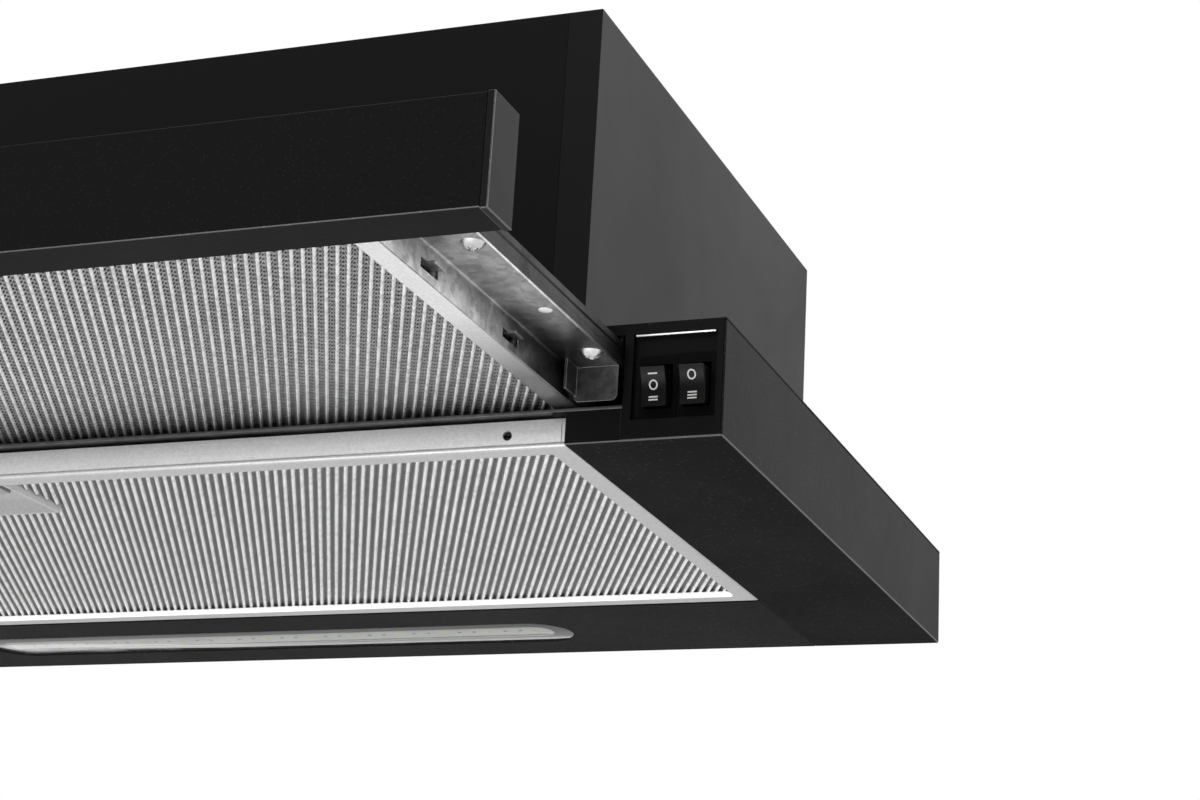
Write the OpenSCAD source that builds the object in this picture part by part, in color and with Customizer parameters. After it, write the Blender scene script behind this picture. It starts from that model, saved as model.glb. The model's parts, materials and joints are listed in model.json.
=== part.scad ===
// Pull-out range hood: a slim sheet-steel hood with a sliding visor, drawn in millimetres.
// Hood coordinates: X runs across from the middle, Y runs back from the front of the lower body,
// Z runs up from the underside. Each sub-part is then moved so that the part's origin lies under
// the middle of the hood with its visor pulled out.

/* [Body] */
// Width of the hood
body_w = 600; // [570:5:900]
// Depth of the lower body
body_d = 300; // [290:1:330]
// Height of the lower body
body_h = 40; // [39:0.5:48]
// Height to the top of the fan housing
overall_h = 175; // [160:1:220]
// Thickness of the painted sheet
sheet = 0.8; // [0.6:0.1:1]
// Width of the underside strip beside the filter
strip_w = 54; // [50:1:66]

/* [Fan housing] */
// Distance from the side of the lower body to the side of the fan housing
housing_inset = 63; // [45:1:80]
// Distance from the front of the lower body to the front of the fan housing
housing_front_y = 34; // [24:1:44]
// Width of the flange that the side wrap turns round the front corners
corner_flange_w = 13; // [9:1:18]
// Radius of the duct collar
collar_r = 59.5; // [50:0.5:62]
// Height of the duct collar
collar_h = 28; // [20:1:40]

/* [Visor] */
// Distance that the visor stands out in front of the lower body
visor_out = 190; // [150:1:196]
// Depth of the fascia channel
fascia_d = 16; // [14:0.5:20]
// Height of the fascia
fascia_h = 31.5; // [30:0.5:34]
// Height of the fascia's lower edge
fascia_z = 1; // [0.6:0.1:2]
// Thickness of the galvanised visor brackets
bracket_t = 0.8; // [0.6:0.1:1]

/* [Filters] */
// Depth of the frame of the fixed filter, top to bottom
filter_h = 10; // [8.5:0.5:10.5]
// Depth of the frame of the visor filter, top to bottom
visor_filter_h = 8.5; // [7.5:0.5:9]
// Width of the frame band round each filter
frame_band = 7.4; // [6:0.1:10]
// Thickness of the filter frames
frame_t = 0.7; // [0.5:0.1:0.9]
// Distance from ridge to ridge of the fixed filter's mesh
ridge_pitch = 3.05; // [2.8:0.05:5]
// Distance from ridge to ridge of the visor filter's mesh
visor_ridge_pitch = 3.25; // [2.8:0.05:5]
// Turn of the ridges from the depth of the hood
mesh_turn = 26.5; // [0:0.5:40]
// Height of a ridge
ridge_h = 1.3; // [0.8:0.1:1.8]
// Thickness of a mesh skin
mesh_t = 0.5; // [0.3:0.1:0.8]
// Distance that a filter latch slides
latch_travel = 3; // [2.6:0.1:3.4]

/* [Slides] */
// Width of the ball slides
slide_w = 17; // [16:0.5:18]
// Height of the ball slides
slide_h = 8; // [7.5:0.1:8.4]
// Thickness of the slide steel
slide_t = 1; // [0.8:0.1:1.1]
// Radius of the bearing balls
ball_r = 1.05; // [0.8:0.05:1.1]
// Balls on each side of a slide
ball_count = 9; // [5:1:12]

/* [Switches] */
// Width of the panel that carries the switches
panel_w = 34.5; // [34:0.5:38]
// Width of a switch bezel
bezel_w = 13; // [12.5:0.1:13.4]
// Height of a switch bezel
bezel_h = 21.8; // [21:0.1:24]
// Width of a rocker
rocker_w = 8.5; // [7:0.1:9]
// Height of a rocker
rocker_h = 13; // [12:0.1:14]
// Tilt of both rockers as they rest, foot in and head out
rocker_tilt = 12; // [6:1:12]

/* [Lamp] */
// Length of the lamp lens
lens_l = 296; // [200:1:360]
// Width of the lamp lens
lens_w = 34; // [24:1:40]
// Distance from one LED to the next
led_pitch = 21.8; // [16:0.1:40]

/* [Blower] */
// Room between the scroll and the lid of the fan housing
scroll_head = 7.6; // [6:0.1:16]
// Width of the impeller
impeller_w = 88; // [70:1:100]
// Number of blades
blade_count = 36; // [18:1:44]
// Distance from the rear of the hood to the impeller's axis
impeller_back = 155; // [145:1:165]
// Distance from the motor to the impeller's inlet
motor_gap = 12; // [9:0.5:18]

/* [Hidden] */

$fn = 48;

// Overrun of every cut
cut = 1;

// Colours
black_paint = "#1c1c1e";
black_plastic = "#101011";
galvanised = "#9a9c9f";
aluminium = "#c4c6c8";
lens_grey = "#8f9391";
board_white = "#dfe0dc";
housing_plastic = "#3b3d40";
copper_brown = "#5b4a3c";

// Main planes of the lower body
half_w = body_w / 2;
strip_in = half_w - strip_w;
panel_in = half_w - panel_w;
top_under = body_h - sheet;
hood_shift = (visor_out - body_d) / 2;

// Gaps between pieces
filter_gap = 0.4;

// Section of a filter frame
fold_r = 1.1;
fold_turn = 125;
fold_in = fold_r * (1 + cos(fold_turn));
fold_h = fold_r * (1 + sin(fold_turn));
wall_bow = 0.4;
wall_in = fold_in + frame_t;
lip_h = 1.7;
seam_in = 1.6;
seam_w = 0.45;
seam_d = 0.6;
slide_gap = 0.5;

// Fixed filter, its stops and the cross bar above its front
filter_lift = 0.2;
stop_gap = 0.2;
stop_w = 5;
stop_z = filter_lift + filter_h + stop_gap;
stop_top = stop_z + sheet;
filter_front = 3;
lamp_panel_d = 83;
lamp_front = body_d - lamp_panel_d;
filter_rear = lamp_front - filter_gap;
filter_half = strip_in - filter_gap;
bar_t = 1.2;
bar_d = 17;
bar_top = stop_top + bar_t;
keeper_w = 30;
keeper_t = 1.2;
keeper_drop = 9;
lug_in = 96;
lug_x = strip_in - lug_in;
lug_w = 14;
lug_t = 1.2;
lug_back = 6;
lug_y = filter_front + lug_back;
lug_gap = 0.4;
rear_tab_in = 96;
rear_tab_x = strip_in - rear_tab_in;
rear_tab_w = 18;
rear_tab_t = 1.6;
rear_tab_z = 4;
rear_tab_reach = 4;
frame_hole_in = 21.5;
frame_hole_x = strip_in - frame_hole_in;
frame_hole_r = 1.65;

// Filter latches and their bays
latch_bay_w = 52;
latch_bay_d = 44;
latch_w = 30;
latch_d = 24;
latch_t = 3;
latch_z = 3;
latch_y = 15;
latch_grip_w = 20;
latch_grip_d = 12;
tongue_w = 12;
tongue_t = 2.2;
tongue_reach = 2.4;
bay_roof_t = 1;
bay_wall_t = 1.2;
latch_ride_gap = 0.3;

// Visor filter and brackets
visor_lift = 2.1;
visor_z = bar_top + visor_lift;
visor_filter_tail = 24;
bracket_rise = 1.7;
flange_z = visor_z + visor_filter_h + bracket_rise;
slide_z = flange_z + bracket_t;
slide_top = slide_z + slide_h;
slide_out_x = panel_in - slide_gap;
slide_in_x = slide_out_x - slide_w;
bracket_in_x = slide_in_x - bracket_t;
visor_filter_half = bracket_in_x - filter_gap;
bracket_drop = 0.5;
bracket_low = visor_z - bracket_drop;
tab_lift = 0.6;
tab_low = bar_top + tab_lift;
tab_w = 15;
tab_corner_r = 2;
side_ear_l = 9;
bracket_stop = 3;
hook_l = 12;
hook_h = 3;
hook_lift = 2;
hook_tab_l = 7;
hook_tab_end = 0.5;
hook_reach = 2.2;
hook_pitch = 60;
hook_first = 53;
hook_low = visor_z + hook_lift;
hook_tab_low = hook_low + hook_h - bracket_t / 2;
bend_r = 0.8;
bracket_hole_back = 57;
bracket_hole_r = 2.4;
screw_first = 17.5;
screw_second = 113;
screw_r = 1.7;
screw_head_r = 4;
screw_head_h = 2.2;
screw_slack = 0.1;

// Fascia channel, cross rail and end caps
fascia_front = -visor_out;
fascia_back = fascia_front + fascia_d;
fascia_top = fascia_z + fascia_h;
fascia_lip = 2.5;
cap_t = 2.2;
cap_proud = 0.4;
cap_plug_d = 5;
cap_plug_l = 8;
cap_plug_t = 1.6;
rail_back = fascia_back - sheet;
visor_filter_front = rail_back + bracket_t + filter_gap;
visor_filter_depth = visor_filter_tail - visor_filter_front;

// Ball slides
slide_end_gap = 10;
slide_len = body_d - slide_end_gap;
channel_front = fascia_back + bracket_t + sheet;
channel_rear = channel_front + slide_len;
rail_front = 4;
rail_rear = rail_front + slide_len;
channel_lip = 2.2;
groove_d = 0.5;
groove_low_share = 0.33;
groove_high_share = 0.66;
ball_slack = 0.1;
race_gap = 2 * (ball_r + ball_slack);
inner_half = slide_w / 2 - slide_t - groove_d - race_gap;
slide_mid_x = slide_out_x - slide_w / 2;
rail_lift = 0.6;
rail_z = slide_top + rail_lift;
rail_drop = 6;
cage_t = 0.5;
cage_gap = 0.35;
cage_leg_h = 4.6;
cage_share = 0.85;
cage_len = cage_share * (channel_rear - rail_front);
cage_mid = (channel_rear + rail_front) / 2;
cage_x = (inner_half + slide_w / 2 - slide_t - groove_d) / 2;
cage_low = rail_z - rail_drop - cage_gap - cage_t;
ball_pitch = cage_len / (ball_count + 1);
ball_z = slide_z + slide_h * (groove_low_share + groove_high_share) / 2;
hanger_half = 6.5;
hanger_foot = 3.4;
hanger_hole_r = 2;
hanger_holes = 3;

// Top plate and cabinet screw holes
front_flange_h = 3;
air_side = 9;
air_x = half_w - housing_inset - air_side;
air_inset = 11;
air_front = housing_front_y + air_inset;
air_back = 12;
air_rear = body_d - air_back;
upstand_h = 9;
cabinet_in = 25;
cabinet_x = half_w - cabinet_in;
cabinet_front_y = 35;
cabinet_back = 45;
cabinet_rear_y = body_d - cabinet_back;
cabinet_hole_r = 2.25;

// Wiring bays
wall_gap = 0.5;
wall_x = panel_in + wall_gap;
wall_flange = 8;
wall_rear_gap = 7;
panel_return = 4;

// Switch panel, switches and rockers
panel_t = 1.6;
recess_edge = 3;
recess_w = 28.5;
recess_h = 29;
recess_z = 7.1;
recess_d = 2.5;
recess_t = 1.2;
recess_right = half_w - recess_edge;
bezel_t = 1.5;
bezel_gap = 0.1;
switch_z = recess_z + bezel_gap + bezel_h / 2;
light_x = recess_right - bezel_gap - bezel_w / 2;
fan_x = light_x - bezel_w - bezel_gap;
switch_w = 11.8;
switch_h = 19;
switch_depth = 18;
switch_fit = 0.1;
bezel_front = recess_d - bezel_t;
window_side = 0.35;
window_end = 0.9;
window_depth = 9;
rocker_out = 5.2;
rocker_dip = 1.4;
rocker_waist = 1.2;
pivot_in = 2.5;
pivot_y = bezel_front + pivot_in;
pivot_r = 1;
pivot_fit = 0.06;
pivot_reach = 0.9;
keel_r = 2;
blade_terminal = [0.8, 7, 4.8];
terminal_pitch = 6;

// Lamp
lens_back = 43;
lens_y = lamp_front + lens_back;
lens_gap = 0.2;
lens_inset = 0.1;
lens_flange = 4;
lens_flange_t = 1.6;
lens_rim_h = 2.8;
lens_rim_t = 2;
lens_rim_w = 12;
board_w = 13.5;
board_t = 1.2;
board_end = 10.7;
board_z = sheet + lens_flange_t + lens_rim_h;
led_size = [3.5, 2.8, 1];
led_half_count = floor((lens_l / 2 - board_end - led_size[0]) / led_pitch);
driver_size = [22, 80, 18];
driver_y = 150;
driver_lid = 1.5;
driver_edge = 1.5;

// Small screws
small_r = 1.6;
small_head_r = 3.4;
small_head_h = 2;

// Fan housing and blower
housing_x = half_w - housing_inset;
impeller_y = body_d - impeller_back;
tongue_gap = 4;
tongue_a = 60;
scroll_growth = 22;
scroll_wall = 2;
scroll_side_gap = 4;
scroll_floor_gap = 3;
scroll_steps = 50;
scroll_half = impeller_w / 2 + scroll_side_gap;
scroll_room = overall_h - sheet - body_h - scroll_floor_gap - scroll_head - 2 * scroll_wall;
impeller_r = (scroll_room - growth_to(90) - growth_to(270)) / 2 - tongue_gap;
scroll_flange = 8;
impeller_z = body_h + scroll_floor_gap + scroll_wall + scroll_r(270);
throat_h = overall_h - sheet - impeller_z;
tongue_y = scroll_r(tongue_a) * cos(tongue_a);
blade_depth = 7;
blade_t = 0.9;
blade_bend = 6;
ring_t = 2;
ring_lip = 0.8;
disc_t = 2;
hub_r = 9;
hub_l = 15;
hub_gap = 2;
shaft_r = 4;
shaft_proud = 1;
press_gap = 0.05;
shaft_fit = 0.06;
inlet_over = 1;
inlet_r = impeller_r - blade_depth + inlet_over;
motor_r = inlet_r - motor_gap;
bell_w = 6;
bell_h = 4;
motor_front = 5;
motor_proud = 1;
motor_rear = scroll_half + scroll_wall + bell_h + motor_proud;
motor_bell = 7;
motor_bell_share = 0.62;
motor_rib = 1.2;
bracket_plate_t = 2;
bracket_arm_w = 12;
bracket_hub_share = 0.8;
bracket_foot_r = 5;
bracket_foot_out = 6;
bracket_reach = impeller_r + bracket_foot_out;
bracket_arms = 3;
bracket_first_turn = 150;
capacitor_r = 14;
capacitor_l = 55;
capacitor_z = 70;
capacitor_back = 30;
strap_w = 14;
strap_t = 1;
seat_gap = 0.3;
terminal_size = [28, 70, 46];
terminal_head = 17;
terminal_z = overall_h - terminal_head - terminal_size[2];
terminal_y = 205;
terminal_wall = 2;
loom_r = 1.5;
loom_bay_x = 12;
loom_z = 30;
loom_front = recess_d + switch_depth + blade_terminal[1] + loom_r + seat_gap;
loom_back = 2.6;
loom_rear = body_d - sheet - loom_back;
loom_in_x = housing_x - sheet - terminal_size[0] / 2;
loom_up_y = terminal_y + terminal_size[1] / 2;

housing_screw_in = 20;
housing_screw_ys = [air_front + housing_screw_in, air_rear - housing_screw_in];
lid_flange = 10;
cover_return = 9;
bottom_flange = 7;
throat_mid = (tongue_y + scroll_r(360)) / 2;
duct_y = impeller_y + throat_mid;
collar_t = 2;
collar_bore = collar_r - collar_t;
collar_flange = 9;
collar_flange_r = collar_r + collar_flange;
collar_flange_t = 2;
ledge_w = 4;
flap_lift = 5;
flap_z = overall_h + flap_lift;
flap_t = 1.5;
flap_split = 3.5;
flap_gap = 0.6;
flap_barrel_r = 1.75;
flap_pin_r = 1.2;
flap_pin_fit = 0.07;
flap_rest_gap = 0.3;
ear_d = 5.5;
ear_half = 6.5;
ear_top = 3.5;
ear_gap = 0.4;
ear_clear = 2.2;
gland_in = 35;
gland_x = housing_x - gland_in;
gland_back = 30;
gland_y = body_d - gland_back;
gland_r = 8;
gland_bore_r = 4;
gland_h = 14;
gland_flange = 4;
gland_flange_t = 3;
duct_screw_r = (collar_r + collar_flange_r) / 2;
blower_screw_gap = 1.5;
blower_screw_x = collar_flange_r + small_head_r + blower_screw_gap;
blower_screw_half = 12;
blower_screw_ys = [throat_mid - blower_screw_half, throat_mid + blower_screw_half];
scroll_ear = 5;

function growth_to(a) = scroll_growth * (a - tongue_a) / (360 - tongue_a);
function scroll_r(a) = impeller_r + tongue_gap + growth_to(a);
// Turn of the tongue point on an outline that stands off the air space by a wall
function tongue_turn(off) = acos((tongue_y - off) / (scroll_r(tongue_a) + off));
// Air space of the scroll, or its outside, seen along the shaft
function scroll_outline(off) = concat(
    [for (i = [0:scroll_steps])
        let (a = tongue_turn(off) + (360 - tongue_turn(off)) * i / scroll_steps)
        (scroll_r(a) + off) * [cos(a), sin(a)]],
    [[scroll_r(360) + off, throat_h], [tongue_y - off, throat_h]]);

// Moves hood coordinates to the part's origin
module placed() {
    translate([0, hood_shift, 0]) children();
}

// The left-hand twin of a right-hand shape
module left_hand() {
    mirror([1, 0, 0]) children();
}

// A shape and its mirror image
module both_hands() {
    children();
    left_hand() children();
}

// Solid between two corners
module block(low, high) {
    translate(low) cube(high - low);
}

// Profile drawn in X and Z, carried along Y
module along_y(y0, y1) {
    translate([0, y1, 0]) rotate([90, 0, 0]) linear_extrude(y1 - y0) children();
}

// Profile drawn in Y and Z, carried along X
module along_x(x0, x1) {
    translate([x0, 0, 0]) rotate([90, 0, 90]) linear_extrude(x1 - x0) children();
}

// Round bar along X from x0 to x1
module bar_x(x0, x1, r) {
    translate([x0, 0, 0]) rotate([0, 90, 0]) cylinder(h = x1 - x0, r = r);
}

// Points of an arc in equal steps, from its first point or a later one
function arc(centre, r, from, to, steps, first = 0) =
    [for (i = [first:steps]) let (a = from + (to - from) * i / steps) centre + r * [cos(a), sin(a)]];

// Flat shape with two round ends
module obround(l, w) {
    square([l - w, w], center = true);
    for (side = [-1, 1]) translate([side * (l - w) / 2, 0]) circle(d = w);
}

// Lower body

module side_panel_shape() {
    along_y(0, body_d) polygon([[strip_in, 0], [half_w, 0], [half_w, top_under],
        [half_w - sheet, top_under], [half_w - sheet, sheet], [strip_in, sheet]]);
    along_y(0, lamp_front) polygon([[strip_in, sheet], [strip_in + sheet, sheet],
        [strip_in + sheet, stop_top], [strip_in - stop_w, stop_top],
        [strip_in - stop_w, stop_z], [strip_in, stop_z]]);
    block([strip_in, 0, 0], [panel_in, sheet, stop_top]);
}

module right_side_panel() {
    color(black_paint) placed() side_panel_shape();
}

module left_side_panel() {
    color(black_paint) placed() left_hand() side_panel_shape();
}

module top_plate() {
    color(black_paint) placed() difference() {
        union() {
            block([-half_w, 0, top_under], [half_w, body_d, body_h]);
            block([-panel_in, 0, top_under - front_flange_h], [panel_in, sheet, top_under]);
            block([-half_w + sheet, body_d - sheet, sheet], [half_w - sheet, body_d, top_under]);
            block([-air_x - sheet, air_front - sheet, top_under],
                [air_x + sheet, air_rear + sheet, body_h + upstand_h]);
        }
        block([-air_x, air_front, top_under - cut], [air_x, air_rear, body_h + upstand_h + cut]);
        for (x = [-cabinet_x, cabinet_x], y = [cabinet_front_y, cabinet_rear_y])
            translate([x, y, top_under - cut]) cylinder(h = sheet + 2 * cut, r = cabinet_hole_r);
    }
}

module lamp_panel() {
    color(black_paint) placed() difference() {
        union() {
            block([-strip_in, lamp_front, 0], [strip_in, body_d, sheet]);
            block([-strip_in, lamp_front, 0], [strip_in, lamp_front + sheet, stop_z]);
        }
        translate([0, lens_y, -cut]) linear_extrude(sheet + 2 * cut) obround(lens_l, lens_w);
        for (x = [-rear_tab_x, rear_tab_x])
            block([x - rear_tab_w / 2 - lug_gap, lamp_front - cut, rear_tab_z - lug_gap],
                [x + rear_tab_w / 2 + lug_gap, lamp_front + sheet + cut,
                rear_tab_z + rear_tab_t + lug_gap]);
    }
}

module inner_wall_shape() {
    along_y(panel_return, body_d - wall_rear_gap) polygon([[wall_x, sheet],
        [wall_x + wall_flange, sheet], [wall_x + wall_flange, 2 * sheet],
        [wall_x + sheet, 2 * sheet], [wall_x + sheet, top_under - sheet],
        [wall_x + wall_flange, top_under - sheet], [wall_x + wall_flange, top_under],
        [wall_x, top_under]]);
}

module right_inner_wall() {
    color(galvanised) placed() inner_wall_shape();
}

module left_inner_wall() {
    color(galvanised) placed() left_hand() inner_wall_shape();
}

// Moulded end panel: a plate with a return round its edge
module end_panel_shape() {
    difference() {
        block([panel_in, 0, sheet], [half_w - sheet, panel_return, top_under]);
        block([panel_in + panel_t, panel_t, sheet + panel_t],
            [half_w - sheet - panel_t, panel_return + cut, top_under - panel_t]);
    }
}

module recess_cut() {
    block([recess_right - recess_w, -cut, recess_z],
        [recess_right, recess_d, recess_z + recess_h]);
}

module switch_panel() {
    color(black_plastic) placed() difference() {
        union() {
            end_panel_shape();
            block([recess_right - recess_w - recess_t, panel_t, recess_z - recess_t],
                [half_w - sheet, recess_d + recess_t, recess_z + recess_h + recess_t]);
        }
        recess_cut();
        for (x = [fan_x, light_x])
            block([x - switch_w / 2 - switch_fit, -cut, switch_z - switch_h / 2 - switch_fit],
                [x + switch_w / 2 + switch_fit, panel_return + cut,
                switch_z + switch_h / 2 + switch_fit]);
    }
}

module blank_panel() {
    color(black_plastic) placed() left_hand() end_panel_shape();
}

module front_cross_bar() {
    color(galvanised) placed() difference() {
        union() {
            block([-panel_in, 0, stop_top], [panel_in, bar_d, bar_top]);
            block([-keeper_w / 2, 0, stop_top - keeper_drop],
                [keeper_w / 2, keeper_t, stop_top]);
        }
        for (x = [-lug_x, lug_x])
            block([x - lug_w / 2 - lug_gap, lug_y - lug_gap, stop_top - cut],
                [x + lug_w / 2 + lug_gap, lug_y + lug_t + lug_gap, bar_top + cut]);
        translate([0, -filter_front, 0]) latch_slot(lug_gap);
    }
}

// Lamp

module lamp_lens() {
    color(lens_grey) placed() translate([0, lens_y, 0]) {
        translate([0, 0, lens_inset]) linear_extrude(sheet - lens_inset)
            obround(lens_l - 2 * lens_gap, lens_w - 2 * lens_gap);
        translate([0, 0, sheet]) linear_extrude(lens_flange_t)
            obround(lens_l + 2 * lens_flange, lens_w + 2 * lens_flange);
        translate([0, 0, sheet + lens_flange_t]) linear_extrude(lens_rim_h) difference() {
            obround(lens_l - 2 * board_end + 2 * lens_rim_t, lens_rim_w + 2 * lens_rim_t);
            square([lens_l - 2 * board_end - 2 * lens_rim_t, lens_rim_w], center = true);
        }
    }
}

module led_board() {
    color(board_white) placed() block(
        [-lens_l / 2 + board_end, lens_y - board_w / 2, board_z],
        [lens_l / 2 - board_end, lens_y + board_w / 2, board_z + board_t]);
}

module leds() {
    color("#e8d27a") placed() for (i = [-led_half_count:led_half_count])
        translate([i * led_pitch, lens_y, board_z - led_size[2]])
            linear_extrude(led_size[2]) square([led_size[0], led_size[1]], center = true);
}

// Driver: a base and a lid that a shallow groove parts
module led_driver() {
    color(board_white) placed()
        translate([wall_x + sheet + seat_gap, driver_y, 2 * sheet]) {
            base_h = driver_size[2] - driver_lid - driver_edge;
            cube([driver_size[0], driver_size[1], base_h]);
            translate([driver_edge, driver_edge, base_h]) cube([driver_size[0] - 2 * driver_edge,
                driver_size[1] - 2 * driver_edge, driver_edge]);
            translate([0, 0, base_h + driver_edge])
                cube([driver_size[0], driver_size[1], driver_lid]);
        }
}

// Switches

module switch_body_shape() {
    difference() {
        union() {
            block([-bezel_w / 2, bezel_front, -bezel_h / 2],
                [bezel_w / 2, recess_d, bezel_h / 2]);
            block([-switch_w / 2, recess_d, -switch_h / 2],
                [switch_w / 2, recess_d + switch_depth, switch_h / 2]);
            for (i = [-1:1])
                translate([0, recess_d + switch_depth + blade_terminal[1] / 2,
                    i * terminal_pitch])
                    cube([blade_terminal[2], blade_terminal[1], blade_terminal[0]],
                    center = true);
        }
        block([-rocker_w / 2 - window_side, bezel_front - cut, -rocker_h / 2 - window_end],
            [rocker_w / 2 + window_side, bezel_front + window_depth,
            rocker_h / 2 + window_end]);
        translate([0, pivot_y, 0])
            bar_x(-rocker_w / 2 - window_side - pivot_reach - pivot_fit,
            rocker_w / 2 + window_side + pivot_reach + pivot_fit, pivot_r + pivot_fit);
    }
}

module fan_switch_body() {
    color(black_plastic) placed() translate([fan_x, 0, switch_z]) switch_body_shape();
}

module light_switch_body() {
    color(black_plastic) placed() translate([light_x, 0, switch_z]) switch_body_shape();
}

// Rocker about its own pivot: a hollow face, a waist and a round keel
module rocker_shape() {
    reach = rocker_out + pivot_y;
    face_r = (rocker_h * rocker_h / 4 + rocker_dip * rocker_dip) / (2 * rocker_dip);
    face_turn = asin(rocker_h / 2 / face_r);
    along_x(-rocker_w / 2, rocker_w / 2) union() {
        polygon(concat(arc([-reach + rocker_dip - face_r, 0], face_r, face_turn, -face_turn, 10),
            [[-pivot_r, -rocker_h / 2 + rocker_waist], [0, -keel_r], [0, keel_r],
            [-pivot_r, rocker_h / 2 - rocker_waist]]));
        circle(r = keel_r);
    }
    bar_x(-rocker_w / 2 - window_side - pivot_reach, rocker_w / 2 + window_side + pivot_reach,
        pivot_r);
}

module fan_rocker() {
    color(black_plastic) placed() translate([fan_x, pivot_y, switch_z])
        rotate([rocker_tilt, 0, 0]) rocker_shape();
}

module light_rocker() {
    color(black_plastic) placed() translate([light_x, pivot_y, switch_z])
        rotate([rocker_tilt, 0, 0]) rocker_shape();
}

// Filters

// Way of the latch tongue through the front of a frame and through its keeper
module latch_slot(gap) {
    block([-tongue_w / 2 - gap, -tongue_reach - latch_travel, latch_z - gap],
        [tongue_w / 2 + gap, latch_y, latch_z + tongue_t + gap]);
}

// Section of a frame in u and z, where u runs inwards: a flange with a turned-up edge, a rounded
// fold, a bowed wall and an upper flange
function frame_section(height) =
    let (rise = (height - fold_h) / 2,
        bow_r = (rise * rise + wall_bow * wall_bow) / (2 * wall_bow),
        bow_turn = asin(rise / bow_r))
    concat(arc([fold_r, fold_r], fold_r, -90, -360 + fold_turn, 8),
        arc([fold_in - wall_bow + bow_r, fold_h + rise], bow_r,
            180 + bow_turn, 180 - bow_turn, 6, 1),
        [[frame_band, height], [frame_band, height - frame_t], [wall_in, height - frame_t],
        [wall_in, frame_t], [frame_band - frame_t, frame_t], [frame_band - frame_t, lip_h],
        [frame_band, lip_h], [frame_band, 0]]);

// A section carried round a rectangle with mitred corners
module mitred_ring(section, half, depth) {
    n = len(section);
    points = [for (corner = [[-1, 0], [1, 0], [1, 1], [-1, 1]], p = section)
        [corner[0] * (half - p[0]), corner[1] == 0 ? p[0] : depth - p[0], p[1]]];
    polyhedron(points, [for (k = [0:3], i = [0:n - 1])
        let (next = (i + 1) % n, turn = (k + 1) % 4)
        [k * n + i, k * n + next, turn * n + next, turn * n + i]]);
}

// Folded frame, with its underside at z = 0 and its front at y = 0
module frame_shape(half, depth, height) {
    difference() {
        union() {
            mitred_ring(frame_section(height), half, depth);
            difference() {
                block([-latch_bay_w / 2, frame_t, 0],
                    [latch_bay_w / 2, latch_bay_d, height - frame_t]);
                block([-latch_bay_w / 2 + bay_wall_t, frame_t, -cut],
                    [latch_bay_w / 2 - bay_wall_t, latch_bay_d - bay_wall_t,
                    height - frame_t - bay_roof_t]);
            }
        }
        both_hands() block([half - seam_in - seam_w, -cut, fold_h],
            [half - seam_in, seam_d, height + cut]);
        latch_slot(latch_ride_gap);
    }
}

// Corrugated skin with its ridges down, drawn in X and Z
module skin_profile(count, pitch, low) {
    rise = [for (i = [-2 * count:2 * count]) [i * pitch / 2, low + abs(i % 2) * ridge_h]];
    polygon(concat(rise, [for (i = [len(rise) - 1:-1:0]) rise[i] + [0, mesh_t]]));
}

// Mesh pack: two corrugated skins, turned across a frame that they fill behind its latch bay
module mesh_shape(half, depth, height, pitch) {
    inset = wall_in + filter_gap;
    low = lip_h + stop_gap;
    reach = norm([half, depth / 2]);
    count = ceil(reach / pitch);
    difference() {
        intersection() {
            translate([0, depth / 2, 0]) rotate(mesh_turn) along_y(-reach, reach) {
                skin_profile(count, pitch, low);
                translate([0, height]) mirror([0, 1]) skin_profile(count, pitch, low);
            }
            block([-half + inset, inset, 0], [half - inset, depth - inset, height]);
        }
        block([-latch_bay_w / 2 - filter_gap, 0, -cut],
            [latch_bay_w / 2 + filter_gap, latch_bay_d + filter_gap, height + cut]);
    }
}

// Latch slider: a tongue in front and a finger grip underneath
module latch_shape(height) {
    roof = height - frame_t - bay_roof_t - latch_ride_gap;
    difference() {
        union() {
            block([-latch_w / 2, latch_y - latch_d / 2, latch_z],
                [latch_w / 2, latch_y + latch_d / 2, roof]);
            block([-tongue_w / 2, -tongue_reach, latch_z],
                [tongue_w / 2, latch_y, latch_z + tongue_t]);
        }
        translate([0, latch_y, latch_z - cut]) linear_extrude(latch_t / 2 + cut)
            obround(latch_grip_w, latch_grip_d);
    }
}

module fixed_filter_frame() {
    depth = filter_rear - filter_front;
    color(aluminium) placed() difference() {
        union() {
            translate([0, filter_front, filter_lift]) frame_shape(filter_half, depth, filter_h);
            for (x = [-rear_tab_x, rear_tab_x])
                block([x - rear_tab_w / 2, filter_rear - frame_t, rear_tab_z],
                    [x + rear_tab_w / 2, filter_rear + rear_tab_reach, rear_tab_z + rear_tab_t]);
            for (x = [-lug_x, lug_x])
                block([x - lug_w / 2, lug_y, filter_lift + filter_h],
                    [x + lug_w / 2, lug_y + lug_t, bar_top + lug_gap]);
        }
        for (x = [-frame_hole_x, frame_hole_x])
            translate([x, filter_front - cut, filter_lift + filter_h / 2])
                rotate([-90, 0, 0]) cylinder(h = frame_t + 2 * cut, r = frame_hole_r);
    }
}

module fixed_filter_mesh() {
    color(aluminium) placed() translate([0, filter_front, filter_lift])
        mesh_shape(filter_half, filter_rear - filter_front, filter_h, ridge_pitch);
}

module fixed_filter_latch() {
    color(galvanised) placed() translate([0, filter_front, filter_lift]) latch_shape(filter_h);
}

module visor_filter_frame() {
    color(aluminium) placed() translate([0, visor_filter_front, visor_z]) difference() {
        frame_shape(visor_filter_half, visor_filter_depth, visor_filter_h);
        both_hands() each_hook() block([visor_filter_half - wall_in - filter_gap,
            -visor_filter_front - hook_l / 2, hook_lift],
            [visor_filter_half + cut, -visor_filter_front + hook_l / 2,
            hook_lift + hook_h + bracket_t / 2 + stop_gap]);
    }
}

module visor_filter_mesh() {
    color(aluminium) placed() translate([0, visor_filter_front, visor_z])
        mesh_shape(visor_filter_half, visor_filter_depth, visor_filter_h, visor_ridge_pitch);
}

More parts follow.
